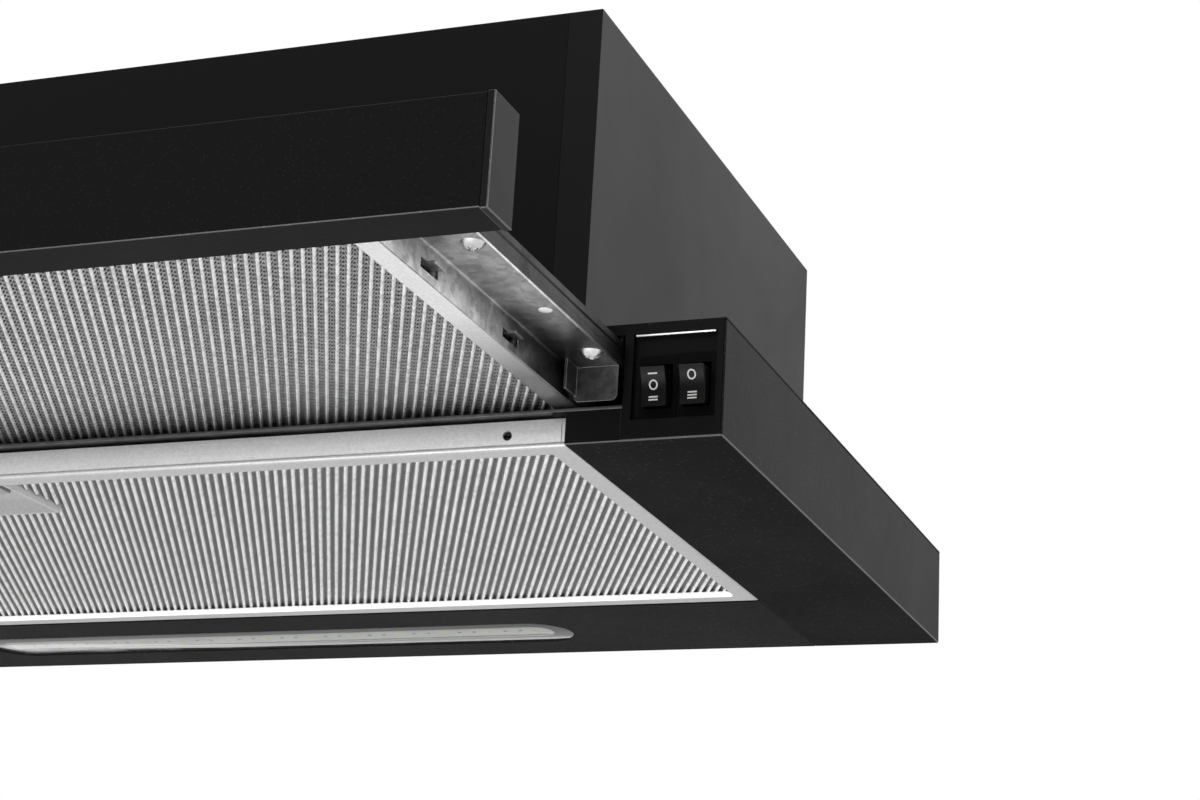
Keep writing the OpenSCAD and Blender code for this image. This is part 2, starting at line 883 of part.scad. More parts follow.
module visor_filter_latch() {
    color(galvanised) placed() translate([0, visor_filter_front, visor_z])
        latch_shape(visor_filter_h);
}

// Visor

module visor_fascia() {
    inner_x = half_w - cap_t;
    color(black_paint) placed() along_x(-inner_x, inner_x) polygon([
        [fascia_front, fascia_z], [fascia_back, fascia_z],
        [fascia_back, fascia_z + sheet + fascia_lip],
        [fascia_back - sheet, fascia_z + sheet + fascia_lip],
        [fascia_back - sheet, fascia_z + sheet], [fascia_front + sheet, fascia_z + sheet],
        [fascia_front + sheet, fascia_top - sheet], [fascia_back - sheet, fascia_top - sheet],
        [fascia_back - sheet, fascia_top - sheet - fascia_lip],
        [fascia_back, fascia_top - sheet - fascia_lip], [fascia_back, fascia_top],
        [fascia_front, fascia_top]]);
}

module end_cap_shape() {
    block([half_w - cap_t, fascia_front, fascia_z - cap_proud],
        [half_w, fascia_back, fascia_top + cap_proud]);
    difference() {
        block([half_w - cap_t - cap_plug_l, fascia_front + sheet, fascia_z + sheet],
            [half_w - cap_t, fascia_front + cap_plug_d, fascia_top - sheet]);
        block([half_w - cap_t - cap_plug_l - cut, fascia_front + sheet + cap_plug_t,
            fascia_z + sheet + cap_plug_t],
            [half_w - cap_t, fascia_front + cap_plug_d + cut, fascia_top - sheet - cap_plug_t]);
    }
}

module right_end_cap() {
    color("#3a3a3c") placed() end_cap_shape();
}

module left_end_cap() {
    color("#3a3a3c") placed() left_hand() end_cap_shape();
}

module visor_cross_rail() {
    web_back = rail_back;
    low = fascia_z + sheet;
    high = fascia_top - sheet;
    color(galvanised) placed() difference() {
        along_x(-slide_out_x, slide_out_x) polygon([
            [fascia_front + sheet, low], [web_back, low], [web_back, high],
            [fascia_front + sheet, high], [fascia_front + sheet, high - sheet],
            [web_back - sheet, high - sheet], [web_back - sheet, low + sheet],
            [fascia_front + sheet, low + sheet]]);
        translate([0, visor_filter_front, visor_z]) latch_slot(lug_gap);
    }
}

module visor_bracket_shape() {
    tab_front = -bracket_stop - bracket_t;
    bend = [slide_in_x + bend_r, flange_z - bend_r];
    difference() {
        union() {
            along_y(rail_back, -bracket_stop) polygon(concat(
                [[bracket_in_x, bracket_low], [slide_in_x, bracket_low]],
                arc(bend, bend_r, 180, 90, 5), [[slide_out_x, flange_z], [slide_out_x, slide_z]],
                arc(bend, bend_r + bracket_t, 90, 180, 5)));
            block([bracket_in_x, rail_back, bracket_low], [slide_out_x, rail_back + bracket_t,
                slide_z - bracket_t / 2]);
            bracket_rear_tab(tab_front);
            block([slide_out_x - tab_w, tab_front - side_ear_l, tab_low + tab_corner_r],
                [slide_out_x - tab_w + bracket_t, tab_front + bracket_t / 2,
                slide_z - bracket_t / 2]);
        }
        each_hook() block([bracket_in_x - cut, -hook_l / 2, hook_low],
            [slide_in_x + cut, hook_l / 2, hook_low + hook_h]);
        for (y = [-screw_first, -screw_second])
            translate([slide_mid_x + slide_w / 4, y, flange_z - cut])
                cylinder(h = bracket_t + 2 * cut, r = screw_r + screw_slack);
        translate([slide_mid_x + slide_w / 4, -bracket_hole_back, flange_z - cut])
            cylinder(h = bracket_t + 2 * cut, r = bracket_hole_r);
    }
    each_hook() block([bracket_in_x - filter_gap - wall_in, hook_l / 2 - hook_tab_end - hook_tab_l,
        hook_tab_low], [slide_in_x + hook_reach, hook_l / 2 - hook_tab_end,
        hook_tab_low + bracket_t]);
}

module each_hook() {
    for (i = [0, 1]) translate([0, -hook_first - i * hook_pitch, 0]) children();
}

// Rear end of the bracket, turned down with rounded lower corners
module bracket_rear_tab(tab_front) {
    left = slide_out_x - tab_w;
    along_y(tab_front, tab_front + bracket_t) {
        polygon([[left, tab_low + tab_corner_r], [slide_out_x, tab_low + tab_corner_r],
            [slide_out_x, slide_z], [left, slide_z]]);
        polygon([[left + tab_corner_r, tab_low], [slide_out_x - tab_corner_r, tab_low],
            [slide_out_x - tab_corner_r, tab_low + tab_corner_r],
            [left + tab_corner_r, tab_low + tab_corner_r]]);
        for (x = [left + tab_corner_r, slide_out_x - tab_corner_r])
            translate([x, tab_low + tab_corner_r]) circle(r = tab_corner_r);
    }
}

module right_visor_bracket() {
    color(galvanised) placed() visor_bracket_shape();
}

module left_visor_bracket() {
    color(galvanised) placed() left_hand() visor_bracket_shape();
}

module bracket_screws() {
    color(aluminium) placed() both_hands() for (y = [-screw_first, -screw_second])
        translate([slide_mid_x + slide_w / 4, y, flange_z]) {
            cylinder(h = bracket_t + slide_t, r = screw_r);
            pan_head(screw_head_r, screw_head_h);
        }
}

// Pan head that hangs below z = 0, with a cross recess
module pan_head(r, h) {
    slot_share = 0.28;
    difference() {
        mirror([0, 0, 1]) rotate_extrude() intersection() {
            square([r, h]);
            translate([0, -(r * r - h * h) / (2 * h)]) circle(r = (r * r + h * h) / (2 * h));
        }
        for (turn = [0, 90])
            rotate(turn) translate([0, 0, -h])
                cube([r, slot_share * r, h], center = true);
    }
}

// Slides

// Moving channel: web on the bracket's flange, grooved flanges, lips turned in
module slide_channel_shape() {
    out = slide_w / 2;
    inn = out - slide_t;
    low = slide_z + slide_h * groove_low_share;
    high = slide_z + slide_h * groove_high_share;
    wall = [[out, slide_z], [out, low - groove_d], [out - groove_d, low],
        [out - groove_d, high], [out, high + groove_d], [out, slide_top],
        [out - channel_lip, slide_top], [out - channel_lip, slide_top - slide_t],
        [inn, slide_top - slide_t], [inn, high + groove_d], [inn - groove_d, high],
        [inn - groove_d, low], [inn, low - groove_d], [inn, slide_z + slide_t]];
    difference() {
        translate([slide_mid_x, 0, 0]) along_y(channel_front, channel_rear) polygon(concat(wall,
            [for (i = [len(wall) - 1:-1:0]) [-wall[i][0], wall[i][1]]]));
        for (y = [-screw_first, -screw_second])
            translate([slide_mid_x + slide_w / 4, y, slide_z - cut])
                cylinder(h = slide_t + 2 * cut, r = screw_r + screw_slack);
    }
}

module right_slide_channel() {
    color(galvanised) placed() slide_channel_shape();
}

module left_slide_channel() {
    color(galvanised) placed() left_hand() slide_channel_shape();
}

// Fixed rail: an upturned channel that hangs between the lips
module slide_rail_shape() {
    translate([slide_mid_x, 0, 0]) along_y(rail_front, rail_rear) polygon([
        [-inner_half, rail_z], [-inner_half, rail_z - rail_drop],
        [-inner_half + slide_t, rail_z - rail_drop], [-inner_half + slide_t, rail_z - slide_t],
        [inner_half - slide_t, rail_z - slide_t], [inner_half - slide_t, rail_z - rail_drop],
        [inner_half, rail_z - rail_drop], [inner_half, rail_z]]);
}

module right_slide_rail() {
    color(galvanised) placed() slide_rail_shape();
}

module left_slide_rail() {
    color(galvanised) placed() left_hand() slide_rail_shape();
}

module each_ball() {
    for (i = [1:ball_count], side = [-1, 1])
        translate([slide_mid_x + side * cage_x, cage_mid + (i - (ball_count + 1) / 2) * ball_pitch,
            ball_z]) children();
}

// Ball cage: a thin strip under the rail with a leg in each race
module ball_cage_shape() {
    difference() {
        translate([slide_mid_x, 0, 0])
            along_y(cage_mid - cage_len / 2, cage_mid + cage_len / 2) polygon([
                [-cage_x - cage_t / 2, cage_low], [cage_x + cage_t / 2, cage_low],
                [cage_x + cage_t / 2, cage_low + cage_leg_h],
                [cage_x - cage_t / 2, cage_low + cage_leg_h],
                [cage_x - cage_t / 2, cage_low + cage_t],
                [-cage_x + cage_t / 2, cage_low + cage_t],
                [-cage_x + cage_t / 2, cage_low + cage_leg_h],
                [-cage_x - cage_t / 2, cage_low + cage_leg_h]]);
        each_ball() bar_x(-cage_t, cage_t, ball_r + ball_slack / 2);
    }
}

module right_ball_cage() {
    color(galvanised) placed() ball_cage_shape();
}

module left_ball_cage() {
    color(galvanised) placed() left_hand() ball_cage_shape();
}

module slide_balls_shape() {
    each_ball() sphere(r = ball_r, $fn = 24);
}

module right_slide_balls() {
    color("#d8d9db") placed() slide_balls_shape();
}

module left_slide_balls() {
    color("#d8d9db") placed() left_hand() slide_balls_shape();
}

// Hat section that hangs the fixed rail under the top plate
module slide_hanger_shape() {
    difference() {
        translate([slide_mid_x, 0, 0]) along_y(rail_front, rail_rear) polygon([
            [-hanger_half, rail_z], [hanger_half, rail_z], [hanger_half, top_under - sheet],
            [hanger_half + hanger_foot - sheet, top_under - sheet],
            [hanger_half + hanger_foot - sheet, top_under],
            [hanger_half - sheet, top_under], [hanger_half - sheet, rail_z + sheet],
            [-hanger_half + sheet, rail_z + sheet], [-hanger_half + sheet, top_under],
            [-hanger_half - hanger_foot + sheet, top_under],
            [-hanger_half - hanger_foot + sheet, top_under - sheet],
            [-hanger_half, top_under - sheet]]);
        for (i = [0:hanger_holes - 1])
            translate([slide_mid_x, rail_front + slide_len * (2 * i + 1) / (2 * hanger_holes),
                rail_z - cut]) cylinder(h = sheet + 2 * cut, r = hanger_hole_r);
    }
}

module right_slide_hanger() {
    color(galvanised) placed() slide_hanger_shape();
}

module left_slide_hanger() {
    color(galvanised) placed() left_hand() slide_hanger_shape();
}

// Fan housing

module housing_wrap() {
    flange_x = housing_x - corner_flange_w;
    color(black_paint) placed() difference() {
        block([-housing_x, housing_front_y, body_h], [housing_x, body_d, overall_h]);
        block([-housing_x + sheet, housing_front_y + sheet, body_h + sheet],
            [housing_x - sheet, body_d - sheet, overall_h + cut]);
        block([-housing_x + bottom_flange + sheet, housing_front_y + sheet, body_h - cut],
            [housing_x - bottom_flange - sheet, air_rear + sheet, body_h + cut]);
        block([-flange_x, housing_front_y - cut, body_h - cut],
            [flange_x, housing_front_y + sheet, overall_h + cut]);
        for (x = [-1, 1], y = housing_screw_ys)
            translate([x * (housing_x - sheet - bottom_flange / 2), y, body_h - cut])
                cylinder(h = sheet + 2 * cut, r = small_r);
    }
}

module housing_front() {
    flange_x = housing_x - corner_flange_w;
    color(black_paint) placed() difference() {
        block([-flange_x, housing_front_y, body_h],
            [flange_x, housing_front_y + cover_return, overall_h - sheet]);
        block([-flange_x + sheet, housing_front_y + sheet, body_h + sheet],
            [flange_x - sheet, housing_front_y + cover_return + cut, overall_h - 2 * sheet]);
    }
}

module housing_top() {
    color(black_paint) placed() difference() {
        union() {
            block([-housing_x + sheet, housing_front_y + sheet, overall_h - sheet],
                [housing_x - sheet, body_d - sheet, overall_h]);
            block([-housing_x + corner_flange_w, housing_front_y, overall_h - sheet],
                [housing_x - corner_flange_w, housing_front_y + sheet, overall_h]);
            difference() {
                block([-housing_x + sheet, housing_front_y + cover_return, overall_h - lid_flange],
                    [housing_x - sheet, body_d - sheet, overall_h - sheet]);
                block([-housing_x + 2 * sheet, housing_front_y + cover_return - cut,
                    overall_h - lid_flange - cut],
                    [housing_x - 2 * sheet, body_d - 2 * sheet, overall_h - sheet]);
            }
        }
        translate([0, duct_y, overall_h - sheet - cut])
            cylinder(h = sheet + 2 * cut, r = collar_bore);
        translate([gland_x, gland_y, overall_h - sheet - cut])
            cylinder(h = sheet + 2 * cut, r = gland_r);
        each_duct_screw() translate([0, 0, -sheet - cut])
            cylinder(h = sheet + 2 * cut, r = small_r);
        each_blower_screw() translate([0, 0, -sheet - cut])
            cylinder(h = sheet + 2 * cut, r = small_r);
    }
}

module each_duct_screw() {
    for (turn = [45:90:315])
        translate([0, duct_y, overall_h]) rotate(turn) translate([duct_screw_r, 0, 0]) children();
}

// Duct collar with its ledge, and ears that carry the flap pins
module duct_collar() {
    ear_x = collar_bore - ear_d;
    ledge_top = flap_z - flap_t / 2 - flap_rest_gap;
    color(black_plastic) placed() translate([0, duct_y, 0]) difference() {
        union() {
            translate([0, 0, overall_h]) cylinder(h = collar_flange_t, r = collar_flange_r, $fn = 96);
            translate([0, 0, overall_h]) cylinder(h = collar_h, r = collar_r, $fn = 96);
        }
        translate([0, 0, ledge_top]) difference() {
            cylinder(h = collar_h, r = collar_bore, $fn = 96);
            for (side = [-1, 1])
                translate([side * (ear_x + ear_d), 0, (flap_z + ear_top - ledge_top) / 2])
                    cube([2 * ear_d, 2 * ear_half, flap_z + ear_top - ledge_top],
                    center = true);
        }
        translate([0, 0, overall_h - cut])
            cylinder(h = ledge_top - overall_h + 2 * cut, r = collar_bore - ledge_w, $fn = 96);
        for (y = [-flap_split, flap_split])
            translate([0, y, flap_z])
                bar_x(-collar_bore + flap_gap, collar_bore - flap_gap, flap_pin_r + flap_pin_fit);
        for (turn = [45:90:315])
            rotate(turn) translate([duct_screw_r, 0, overall_h - cut])
                cylinder(h = collar_flange_t + 2 * cut, r = small_r);
    }
}

// Half-round flap behind its hinge pin, lying shut
module flap_shape() {
    ear_x = collar_bore - ear_d - ear_gap;
    flap_r = collar_bore - flap_gap;
    translate([0, 0, flap_z - flap_t / 2]) linear_extrude(flap_t) difference() {
        circle(r = flap_r, $fn = 96);
        translate([-collar_r, flap_split - 2 * collar_r]) square([2 * collar_r, 2 * collar_r]);
        for (side = [-1, 1])
            translate([side * (ear_x + ear_d), 0])
                square([2 * ear_d, 2 * (ear_half + ear_clear)], center = true);
    }
    translate([0, flap_split, flap_z]) {
        bar_x(-ear_x, ear_x, flap_barrel_r);
        bar_x(-collar_bore + 2 * flap_gap, collar_bore - 2 * flap_gap, flap_pin_r);
    }
}

module rear_flap() {
    color(housing_plastic) placed() translate([0, duct_y, 0]) flap_shape();
}

module front_flap() {
    color(housing_plastic) placed() translate([0, duct_y, 0]) mirror([0, 1, 0]) flap_shape();
}

module cable_gland() {
    color(black_plastic) placed() translate([gland_x, gland_y, overall_h]) difference() {
        union() {
            cylinder(h = gland_flange_t, r = gland_r + gland_flange, $fn = 6);
            cylinder(h = gland_h, r = gland_r - press_gap);
            translate([0, 0, -sheet - gland_flange_t])
                cylinder(h = sheet + gland_flange_t + press_gap, r = gland_r - press_gap);
            translate([0, 0, -sheet - gland_flange_t])
                cylinder(h = gland_flange_t, r = gland_r + gland_flange, $fn = 6);
        }
        translate([0, 0, -gland_h]) cylinder(h = 3 * gland_h, r = gland_bore_r);
    }
}

// Blower

// Moves a shape drawn about the shaft to its place
module on_shaft() {
    translate([0, impeller_y, impeller_z]) children();
}

module scroll_half_shape() {
    face = scroll_half + scroll_wall;
    on_shaft() difference() {
        union() {
            along_x(0, scroll_half) difference() {
                polygon(scroll_outline(scroll_wall));
                polygon(scroll_outline(0));
            }
            along_x(scroll_half, face) polygon(scroll_outline(scroll_wall));
            bar_x(face, face + bell_h, inlet_r + bell_w);
            difference() {
                block([0, tongue_y - scroll_wall - scroll_flange, throat_h - scroll_wall],
                    [blower_screw_x + scroll_ear, scroll_r(360) + scroll_wall + scroll_flange,
                    throat_h]);
                block([-cut, tongue_y, throat_h - scroll_wall - cut],
                    [scroll_half, scroll_r(360), throat_h + cut]);
            }
            for (i = [0:bracket_arms - 1])
                rotate([arm_turn(i), 0, 0]) translate([0, bracket_reach, 0])
                    bar_x(face, motor_rear, bracket_foot_r);
        }
        bar_x(scroll_half - cut, face + bell_h + cut, inlet_r);
        translate([face + bell_h, 0, 0]) rotate([0, -90, 0])
            cylinder(h = bell_h, r1 = inlet_r + bell_w - scroll_wall, r2 = inlet_r);
        for (y = blower_screw_ys)
            translate([blower_screw_x, y, throat_h - scroll_wall - cut])
                cylinder(h = scroll_wall + 2 * cut, r = small_r);
    }
}

function arm_turn(i) = bracket_first_turn + 360 * i / bracket_arms;

module each_blower_screw() {
    for (x = [-blower_screw_x, blower_screw_x], y = blower_screw_ys)
        translate([x, impeller_y + y, overall_h]) children();
}

module scroll_right() {
    color(housing_plastic) placed() scroll_half_shape();
}

module scroll_left() {
    color(housing_plastic) placed() left_hand() scroll_half_shape();
}

// One forward-curved blade, seen along the shaft
module blade() {
    mid_r = impeller_r - blade_depth / 2;
    intersection() {
        translate([mid_r, -blade_bend]) difference() {
            circle(r = blade_bend + blade_t / 2);
            circle(r = blade_bend - blade_t / 2);
        }
        difference() {
            circle(r = impeller_r - blade_t, $fn = 96);
            circle(r = impeller_r - blade_depth, $fn = 96);
        }
        translate([impeller_r - 2 * blade_depth, -blade_bend]) square(2 * blade_depth);
    }
}

module impeller() {
    half = impeller_w / 2;
    color(housing_plastic) placed() on_shaft() difference() {
        union() {
            along_x(-half, half) for (i = [0:blade_count - 1])
                rotate(360 * i / blade_count) blade();
            bar_x(-disc_t / 2, disc_t / 2, impeller_r);
            bar_x(-hub_l, motor_front - hub_gap, hub_r);
            for (x = [-half, half - ring_t])
                difference() {
                    bar_x(x, x + ring_t, impeller_r);
                    bar_x(x - cut, x + ring_t + cut, impeller_r - blade_depth - ring_lip);
                }
        }
        bar_x(-hub_l - cut, motor_front, shaft_r + press_gap);
    }
}

module motor_shaft() {
    color(galvanised) placed() on_shaft() bar_x(-hub_l,
        motor_rear + bracket_plate_t + shaft_proud, shaft_r);
}

module motor() {
    nose_r = motor_r * motor_bell_share;
    color(galvanised) placed() on_shaft() difference() {
        union() {
            bar_x(motor_front, motor_rear, nose_r);
            bar_x(motor_front + motor_bell, motor_rear - motor_bell, motor_r);
            for (x = [motor_front + motor_bell, motor_rear - motor_bell - 2 * motor_rib])
                bar_x(x, x + 2 * motor_rib, motor_r + motor_rib);
        }
        bar_x(motor_front - cut, motor_rear + cut, shaft_r + shaft_fit);
    }
}

module motor_bracket() {
    face = motor_rear;
    color(galvanised) placed() on_shaft() difference() {
        union() {
            bar_x(face, face + bracket_plate_t, motor_r * bracket_hub_share);
            for (i = [0:bracket_arms - 1])
                rotate([arm_turn(i), 0, 0]) {
                    block([face, 0, -bracket_arm_w / 2],
                        [face + bracket_plate_t, bracket_reach, bracket_arm_w / 2]);
                    translate([0, bracket_reach, 0])
                        bar_x(face, face + bracket_plate_t, bracket_arm_w / 2);
                }
        }
        bar_x(face - cut, face + bracket_plate_t + cut, 2 * shaft_r);
    }
}

module capacitor() {
    x = -housing_x + sheet + seat_gap + capacitor_r;
    y = housing_front_y + capacitor_back;
    color(board_white) placed() translate([x, y, body_h + capacitor_z]) {
        rotate([-90, 0, 0]) cylinder(h = capacitor_l, r = capacitor_r);
        difference() {
            translate([-capacitor_r - seat_gap, capacitor_l / 2 - strap_w / 2, -capacitor_r - strap_t])
                cube([capacitor_r + seat_gap, strap_w, 2 * (capacitor_r + strap_t)]);
            translate([0, -cut, 0]) rotate([-90, 0, 0])
                cylinder(h = capacitor_l + 2 * cut, r = capacitor_r - strap_t);
        }
    }
}

module terminal_box() {
    low = [housing_x - sheet - terminal_size[0], terminal_y, terminal_z];
    color(black_plastic) placed() difference() {
        block(low, low + terminal_size);
        block(low + terminal_wall * [1, 1, -1],
            low + terminal_size - terminal_wall * [1, 1, 2]);
    }
}

// Loom: from the switches back along the bay, round the slide's end and up to the terminal box
module wiring_loom() {
    bay_x = half_w - loom_bay_x;
    route = [[bay_x, loom_front, switch_z], [bay_x, loom_front, loom_z],
        [bay_x, loom_rear, loom_z], [loom_in_x, loom_rear, loom_z],
        [loom_in_x, loom_up_y, loom_z], [loom_in_x, loom_up_y, terminal_z + terminal_wall]];
    color(copper_brown) placed() {
        for (i = [0:len(route) - 2]) loom_run(route[i], route[i + 1]);
        for (i = [1:len(route) - 2]) translate(route[i]) sphere(r = loom_r, $fn = 24);
    }
}

// Straight run of the loom along one axis
module loom_run(from, to) {
    way = to - from;
    turn = way[0] != 0 ? [0, 90, 0] : way[1] != 0 ? [-90, 0, 0] : [0, 0, 0];
    start = [min(from[0], to[0]), min(from[1], to[1]), min(from[2], to[2])];
    translate(start) rotate(turn) cylinder(h = norm(way), r = loom_r);
}

// Screws

// Small screw through z = 0 with its head above
module small_screw(shank) {
    translate([0, 0, -shank]) cylinder(h = shank, r = small_r - press_gap);
    mirror([0, 0, 1]) pan_head(small_head_r, small_head_h);
}

module housing_screws() {
    color(aluminium) placed() for (x = [-1, 1], y = housing_screw_ys)
        translate([x * (housing_x - sheet - bottom_flange / 2), y, body_h + sheet])
            small_screw(sheet);
}

module duct_screws() {
    color(aluminium) placed() each_duct_screw()
        translate([0, 0, collar_flange_t]) small_screw(collar_flange_t + sheet);
}

module blower_screws() {
    color(aluminium) placed() each_blower_screw() small_screw(sheet + scroll_wall);
}

right_side_panel();
left_side_panel();
top_plate();
lamp_panel();
lamp_lens();
led_board();
leds();
led_driver();
right_inner_wall();
left_inner_wall();
switch_panel();
blank_panel();
fan_switch_body();
fan_rocker();
light_switch_body();
light_rocker();
front_cross_bar();
fixed_filter_frame();
fixed_filter_mesh();
fixed_filter_latch();
visor_fascia();
right_end_cap();
left_end_cap();
visor_cross_rail();
right_visor_bracket();
left_visor_bracket();
bracket_screws();
visor_filter_frame();
visor_filter_mesh();
visor_filter_latch();
right_slide_channel();
left_slide_channel();
right_slide_rail();
left_slide_rail();
right_ball_cage();
left_ball_cage();
right_slide_balls();
left_slide_balls();
right_slide_hanger();
left_slide_hanger();
housing_wrap();
housing_front();
housing_top();
duct_collar();
front_flap();
rear_flap();
scroll_left();
scroll_right();
impeller();
motor_shaft();
motor();
motor_bracket();
capacitor();
terminal_box();
wiring_loom();
cable_gland();
housing_screws();
duct_screws();
blower_screws();
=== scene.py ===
# %% [markdown]
# # Dressing a pull-out range hood
# The hood arrives as a finished mechanical model: every sheet, slide and screw is already at its
# real size. What is left is how it looks. This lesson gives each piece its finish and models the
# few things that are too fine for the mechanical model, such as the pleated grease mesh, the LED
# packages and the marks on the switches.

# %% Load the mechanical model
import json
import math

import bpy
from mathutils import Matrix, Vector

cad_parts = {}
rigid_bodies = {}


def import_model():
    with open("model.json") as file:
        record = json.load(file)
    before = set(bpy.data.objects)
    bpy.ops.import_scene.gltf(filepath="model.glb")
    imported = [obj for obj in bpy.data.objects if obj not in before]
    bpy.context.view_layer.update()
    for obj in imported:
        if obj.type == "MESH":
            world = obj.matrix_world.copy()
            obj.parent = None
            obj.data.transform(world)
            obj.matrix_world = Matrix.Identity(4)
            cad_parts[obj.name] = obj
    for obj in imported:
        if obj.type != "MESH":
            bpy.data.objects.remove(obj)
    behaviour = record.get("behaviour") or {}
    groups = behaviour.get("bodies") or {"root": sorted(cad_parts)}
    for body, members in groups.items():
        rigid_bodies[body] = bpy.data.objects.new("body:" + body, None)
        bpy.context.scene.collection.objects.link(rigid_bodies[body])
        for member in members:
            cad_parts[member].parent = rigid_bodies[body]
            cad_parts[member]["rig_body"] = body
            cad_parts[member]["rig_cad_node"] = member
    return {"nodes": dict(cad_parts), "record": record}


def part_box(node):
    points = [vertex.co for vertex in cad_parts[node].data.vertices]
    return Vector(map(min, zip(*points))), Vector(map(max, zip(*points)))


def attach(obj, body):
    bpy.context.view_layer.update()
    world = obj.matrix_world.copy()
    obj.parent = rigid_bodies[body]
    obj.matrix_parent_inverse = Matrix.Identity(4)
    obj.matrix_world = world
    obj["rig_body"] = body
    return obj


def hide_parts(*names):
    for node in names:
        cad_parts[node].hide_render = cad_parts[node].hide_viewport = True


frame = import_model()
bpy.ops.object.select_all(action="DESELECT")
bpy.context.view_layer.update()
record = frame["record"]
body_of = {node: body for body, nodes in record["behaviour"]["bodies"].items() for node in nodes}
MM = 0.001

# %% [markdown]
# ## Camera
# The photograph was taken from below the hood, in front of its right-hand end, with a long lens.
# Its angles came from the hood's own straight edges. The camera is set by three angles, because
# a look-at constraint could not hold the slight roll.

# %% Camera
CAMERA_PLACE = Vector((0.5345, -0.7550, -0.2293))
CAMERA_TURN = math.radians(21.571)
CAMERA_TILT = math.radians(-17.946)
CAMERA_ROLL = math.radians(3.255)
LENS_MM = 73.23
SENSOR_MM = 36


def photo_camera():
    flat = math.cos(CAMERA_TILT)
    back = Vector((math.sin(CAMERA_TURN) * flat, -math.cos(CAMERA_TURN) * flat,
                   math.sin(CAMERA_TILT)))
    level = Vector((math.cos(CAMERA_TURN), math.sin(CAMERA_TURN), 0))
    steep = back.cross(level)
    right = math.cos(CAMERA_ROLL) * level + math.sin(CAMERA_ROLL) * steep
    up = math.cos(CAMERA_ROLL) * steep - math.sin(CAMERA_ROLL) * level
    data = bpy.data.cameras.new("photo_camera")
    data.lens = LENS_MM
    data.sensor_width = SENSOR_MM
    data.sensor_fit = "HORIZONTAL"
    data.clip_start = 0.01
    camera = bpy.data.objects.new("photo_camera", data)
    bpy.context.scene.collection.objects.link(camera)
    camera.matrix_world = (Matrix.Translation(CAMERA_PLACE)
                           @ Matrix((right, up, back)).transposed().to_4x4())
    bpy.context.scene.camera = camera
    return data


print("camera lens:", photo_camera().lens, "mm")
bpy.context.scene.view_settings.view_transform = "Standard"

# %% [markdown]
# ## Small helpers for shader nodes
# Every finish below is a tree of shader nodes. `add` places one node, sets its options, and fills
# its inputs with either plain values or links, so a tree reads from top to bottom.

# %% Node helpers
def add(tree, kind, inputs=None, **options):
    node = tree.nodes.new(kind)
    for name, value in options.items():
        setattr(node, name, value)
    for name, value in (inputs or {}).items():
        if isinstance(value, bpy.types.NodeSocket):
            tree.links.new(value, node.inputs[name])
        else:
            node.inputs[name].default_value = value
    return node


def maths(tree, operation, first, second=0.0, third=None):
    inputs = {0: first, 1: second}
    if third is not None:
        inputs[2] = third
    return add(tree, "ShaderNodeMath", inputs, operation=operation).outputs[0]


def shader_group(name, inputs, outputs):
    """A node group with named sockets, ready for its inner nodes."""
    group = bpy.data.node_groups.new(name, "ShaderNodeTree")
    for label, kind, value in inputs:
        socket = group.interface.new_socket(label, in_out="INPUT", socket_type=kind)
        if value is not None:
            socket.default_value = value
    for label, kind in outputs:
        group.interface.new_socket(label, in_out="OUTPUT", socket_type=kind)
    return group, group.nodes.new("NodeGroupInput"), group.nodes.new("NodeGroupOutput")


FLOAT = "NodeSocketFloat"
VECTOR = "NodeSocketVector"

# %% [markdown]
# ## Shared surface effects
# Powder coat, galvanised zinc and rolled aluminium differ in colour but share their kinds of
# unevenness. Each kind is a group with named values, built once and used by several finishes.
# They read object coordinates in metres, so a grain keeps its real size on every piece.

# %% Powder coat grain
COARSE_SHARE = 0.8
FLECK_RARITY = 0.55


def grain_group():
    group, inside, out = shader_group(
        "powder_grain",
        [("Vector", VECTOR, None), ("Fine", FLOAT, 2600.0), ("Coarse", FLOAT, 700.0),
         ("Fleck", FLOAT, 900.0)],
        [("Height", FLOAT), ("Fleck", FLOAT)])
    fine = add(group, "ShaderNodeTexNoise",
               {"Vector": inside.outputs["Vector"], "Scale": inside.outputs["Fine"],
                "Detail": 2.0})
    coarse = add(group, "ShaderNodeTexNoise",
                 {"Vector": inside.outputs["Vector"], "Scale": inside.outputs["Coarse"],
                  "Detail": 1.0})
    height = maths(group, "MULTIPLY_ADD", coarse.outputs["Fac"], COARSE_SHARE,
                   fine.outputs["Fac"])
    cells = add(group, "ShaderNodeTexVoronoi",
                {"Vector": inside.outputs["Vector"], "Scale": inside.outputs["Fleck"]})
    near = add(group, "ShaderNodeMapRange",
               {"Value": cells.outputs["Distance"], "From Min": 0.05, "From Max": 0.34,
                "To Min": 1.0, "To Max": 0.0}, clamp=True)
    rare = add(group, "ShaderNodeSeparateColor", {"Color": cells.outputs["Color"]})
    chosen = maths(group, "GREATER_THAN", rare.outputs[0], FLECK_RARITY)
    fleck = maths(group, "MULTIPLY", near.outputs["Result"], chosen)
    group.links.new(height, out.inputs["Height"])
    group.links.new(fleck, out.inputs["Fleck"])
    return group


POWDER_GRAIN = grain_group()

# %% Uneven patches
def patches_group():
    group, inside, out = shader_group(
        "uneven_patches",
        [("Vector", VECTOR, None), ("Scale", FLOAT, 14.0), ("Low", FLOAT, 0.0),
         ("High", FLOAT, 1.0)],
        [("Value", FLOAT)])
    noise = add(group, "ShaderNodeTexNoise",
                {"Vector": inside.outputs["Vector"], "Scale": inside.outputs["Scale"],
                 "Detail": 5.0, "Roughness": 0.62, "Distortion": 0.4})
    value = add(group, "ShaderNodeMapRange",
                {"Value": noise.outputs["Fac"], "From Min": 0.3, "From Max": 0.72,
                 "To Min": inside.outputs["Low"], "To Max": inside.outputs["High"]}, clamp=True)
    group.links.new(value.outputs["Result"], out.inputs["Value"])
    return group


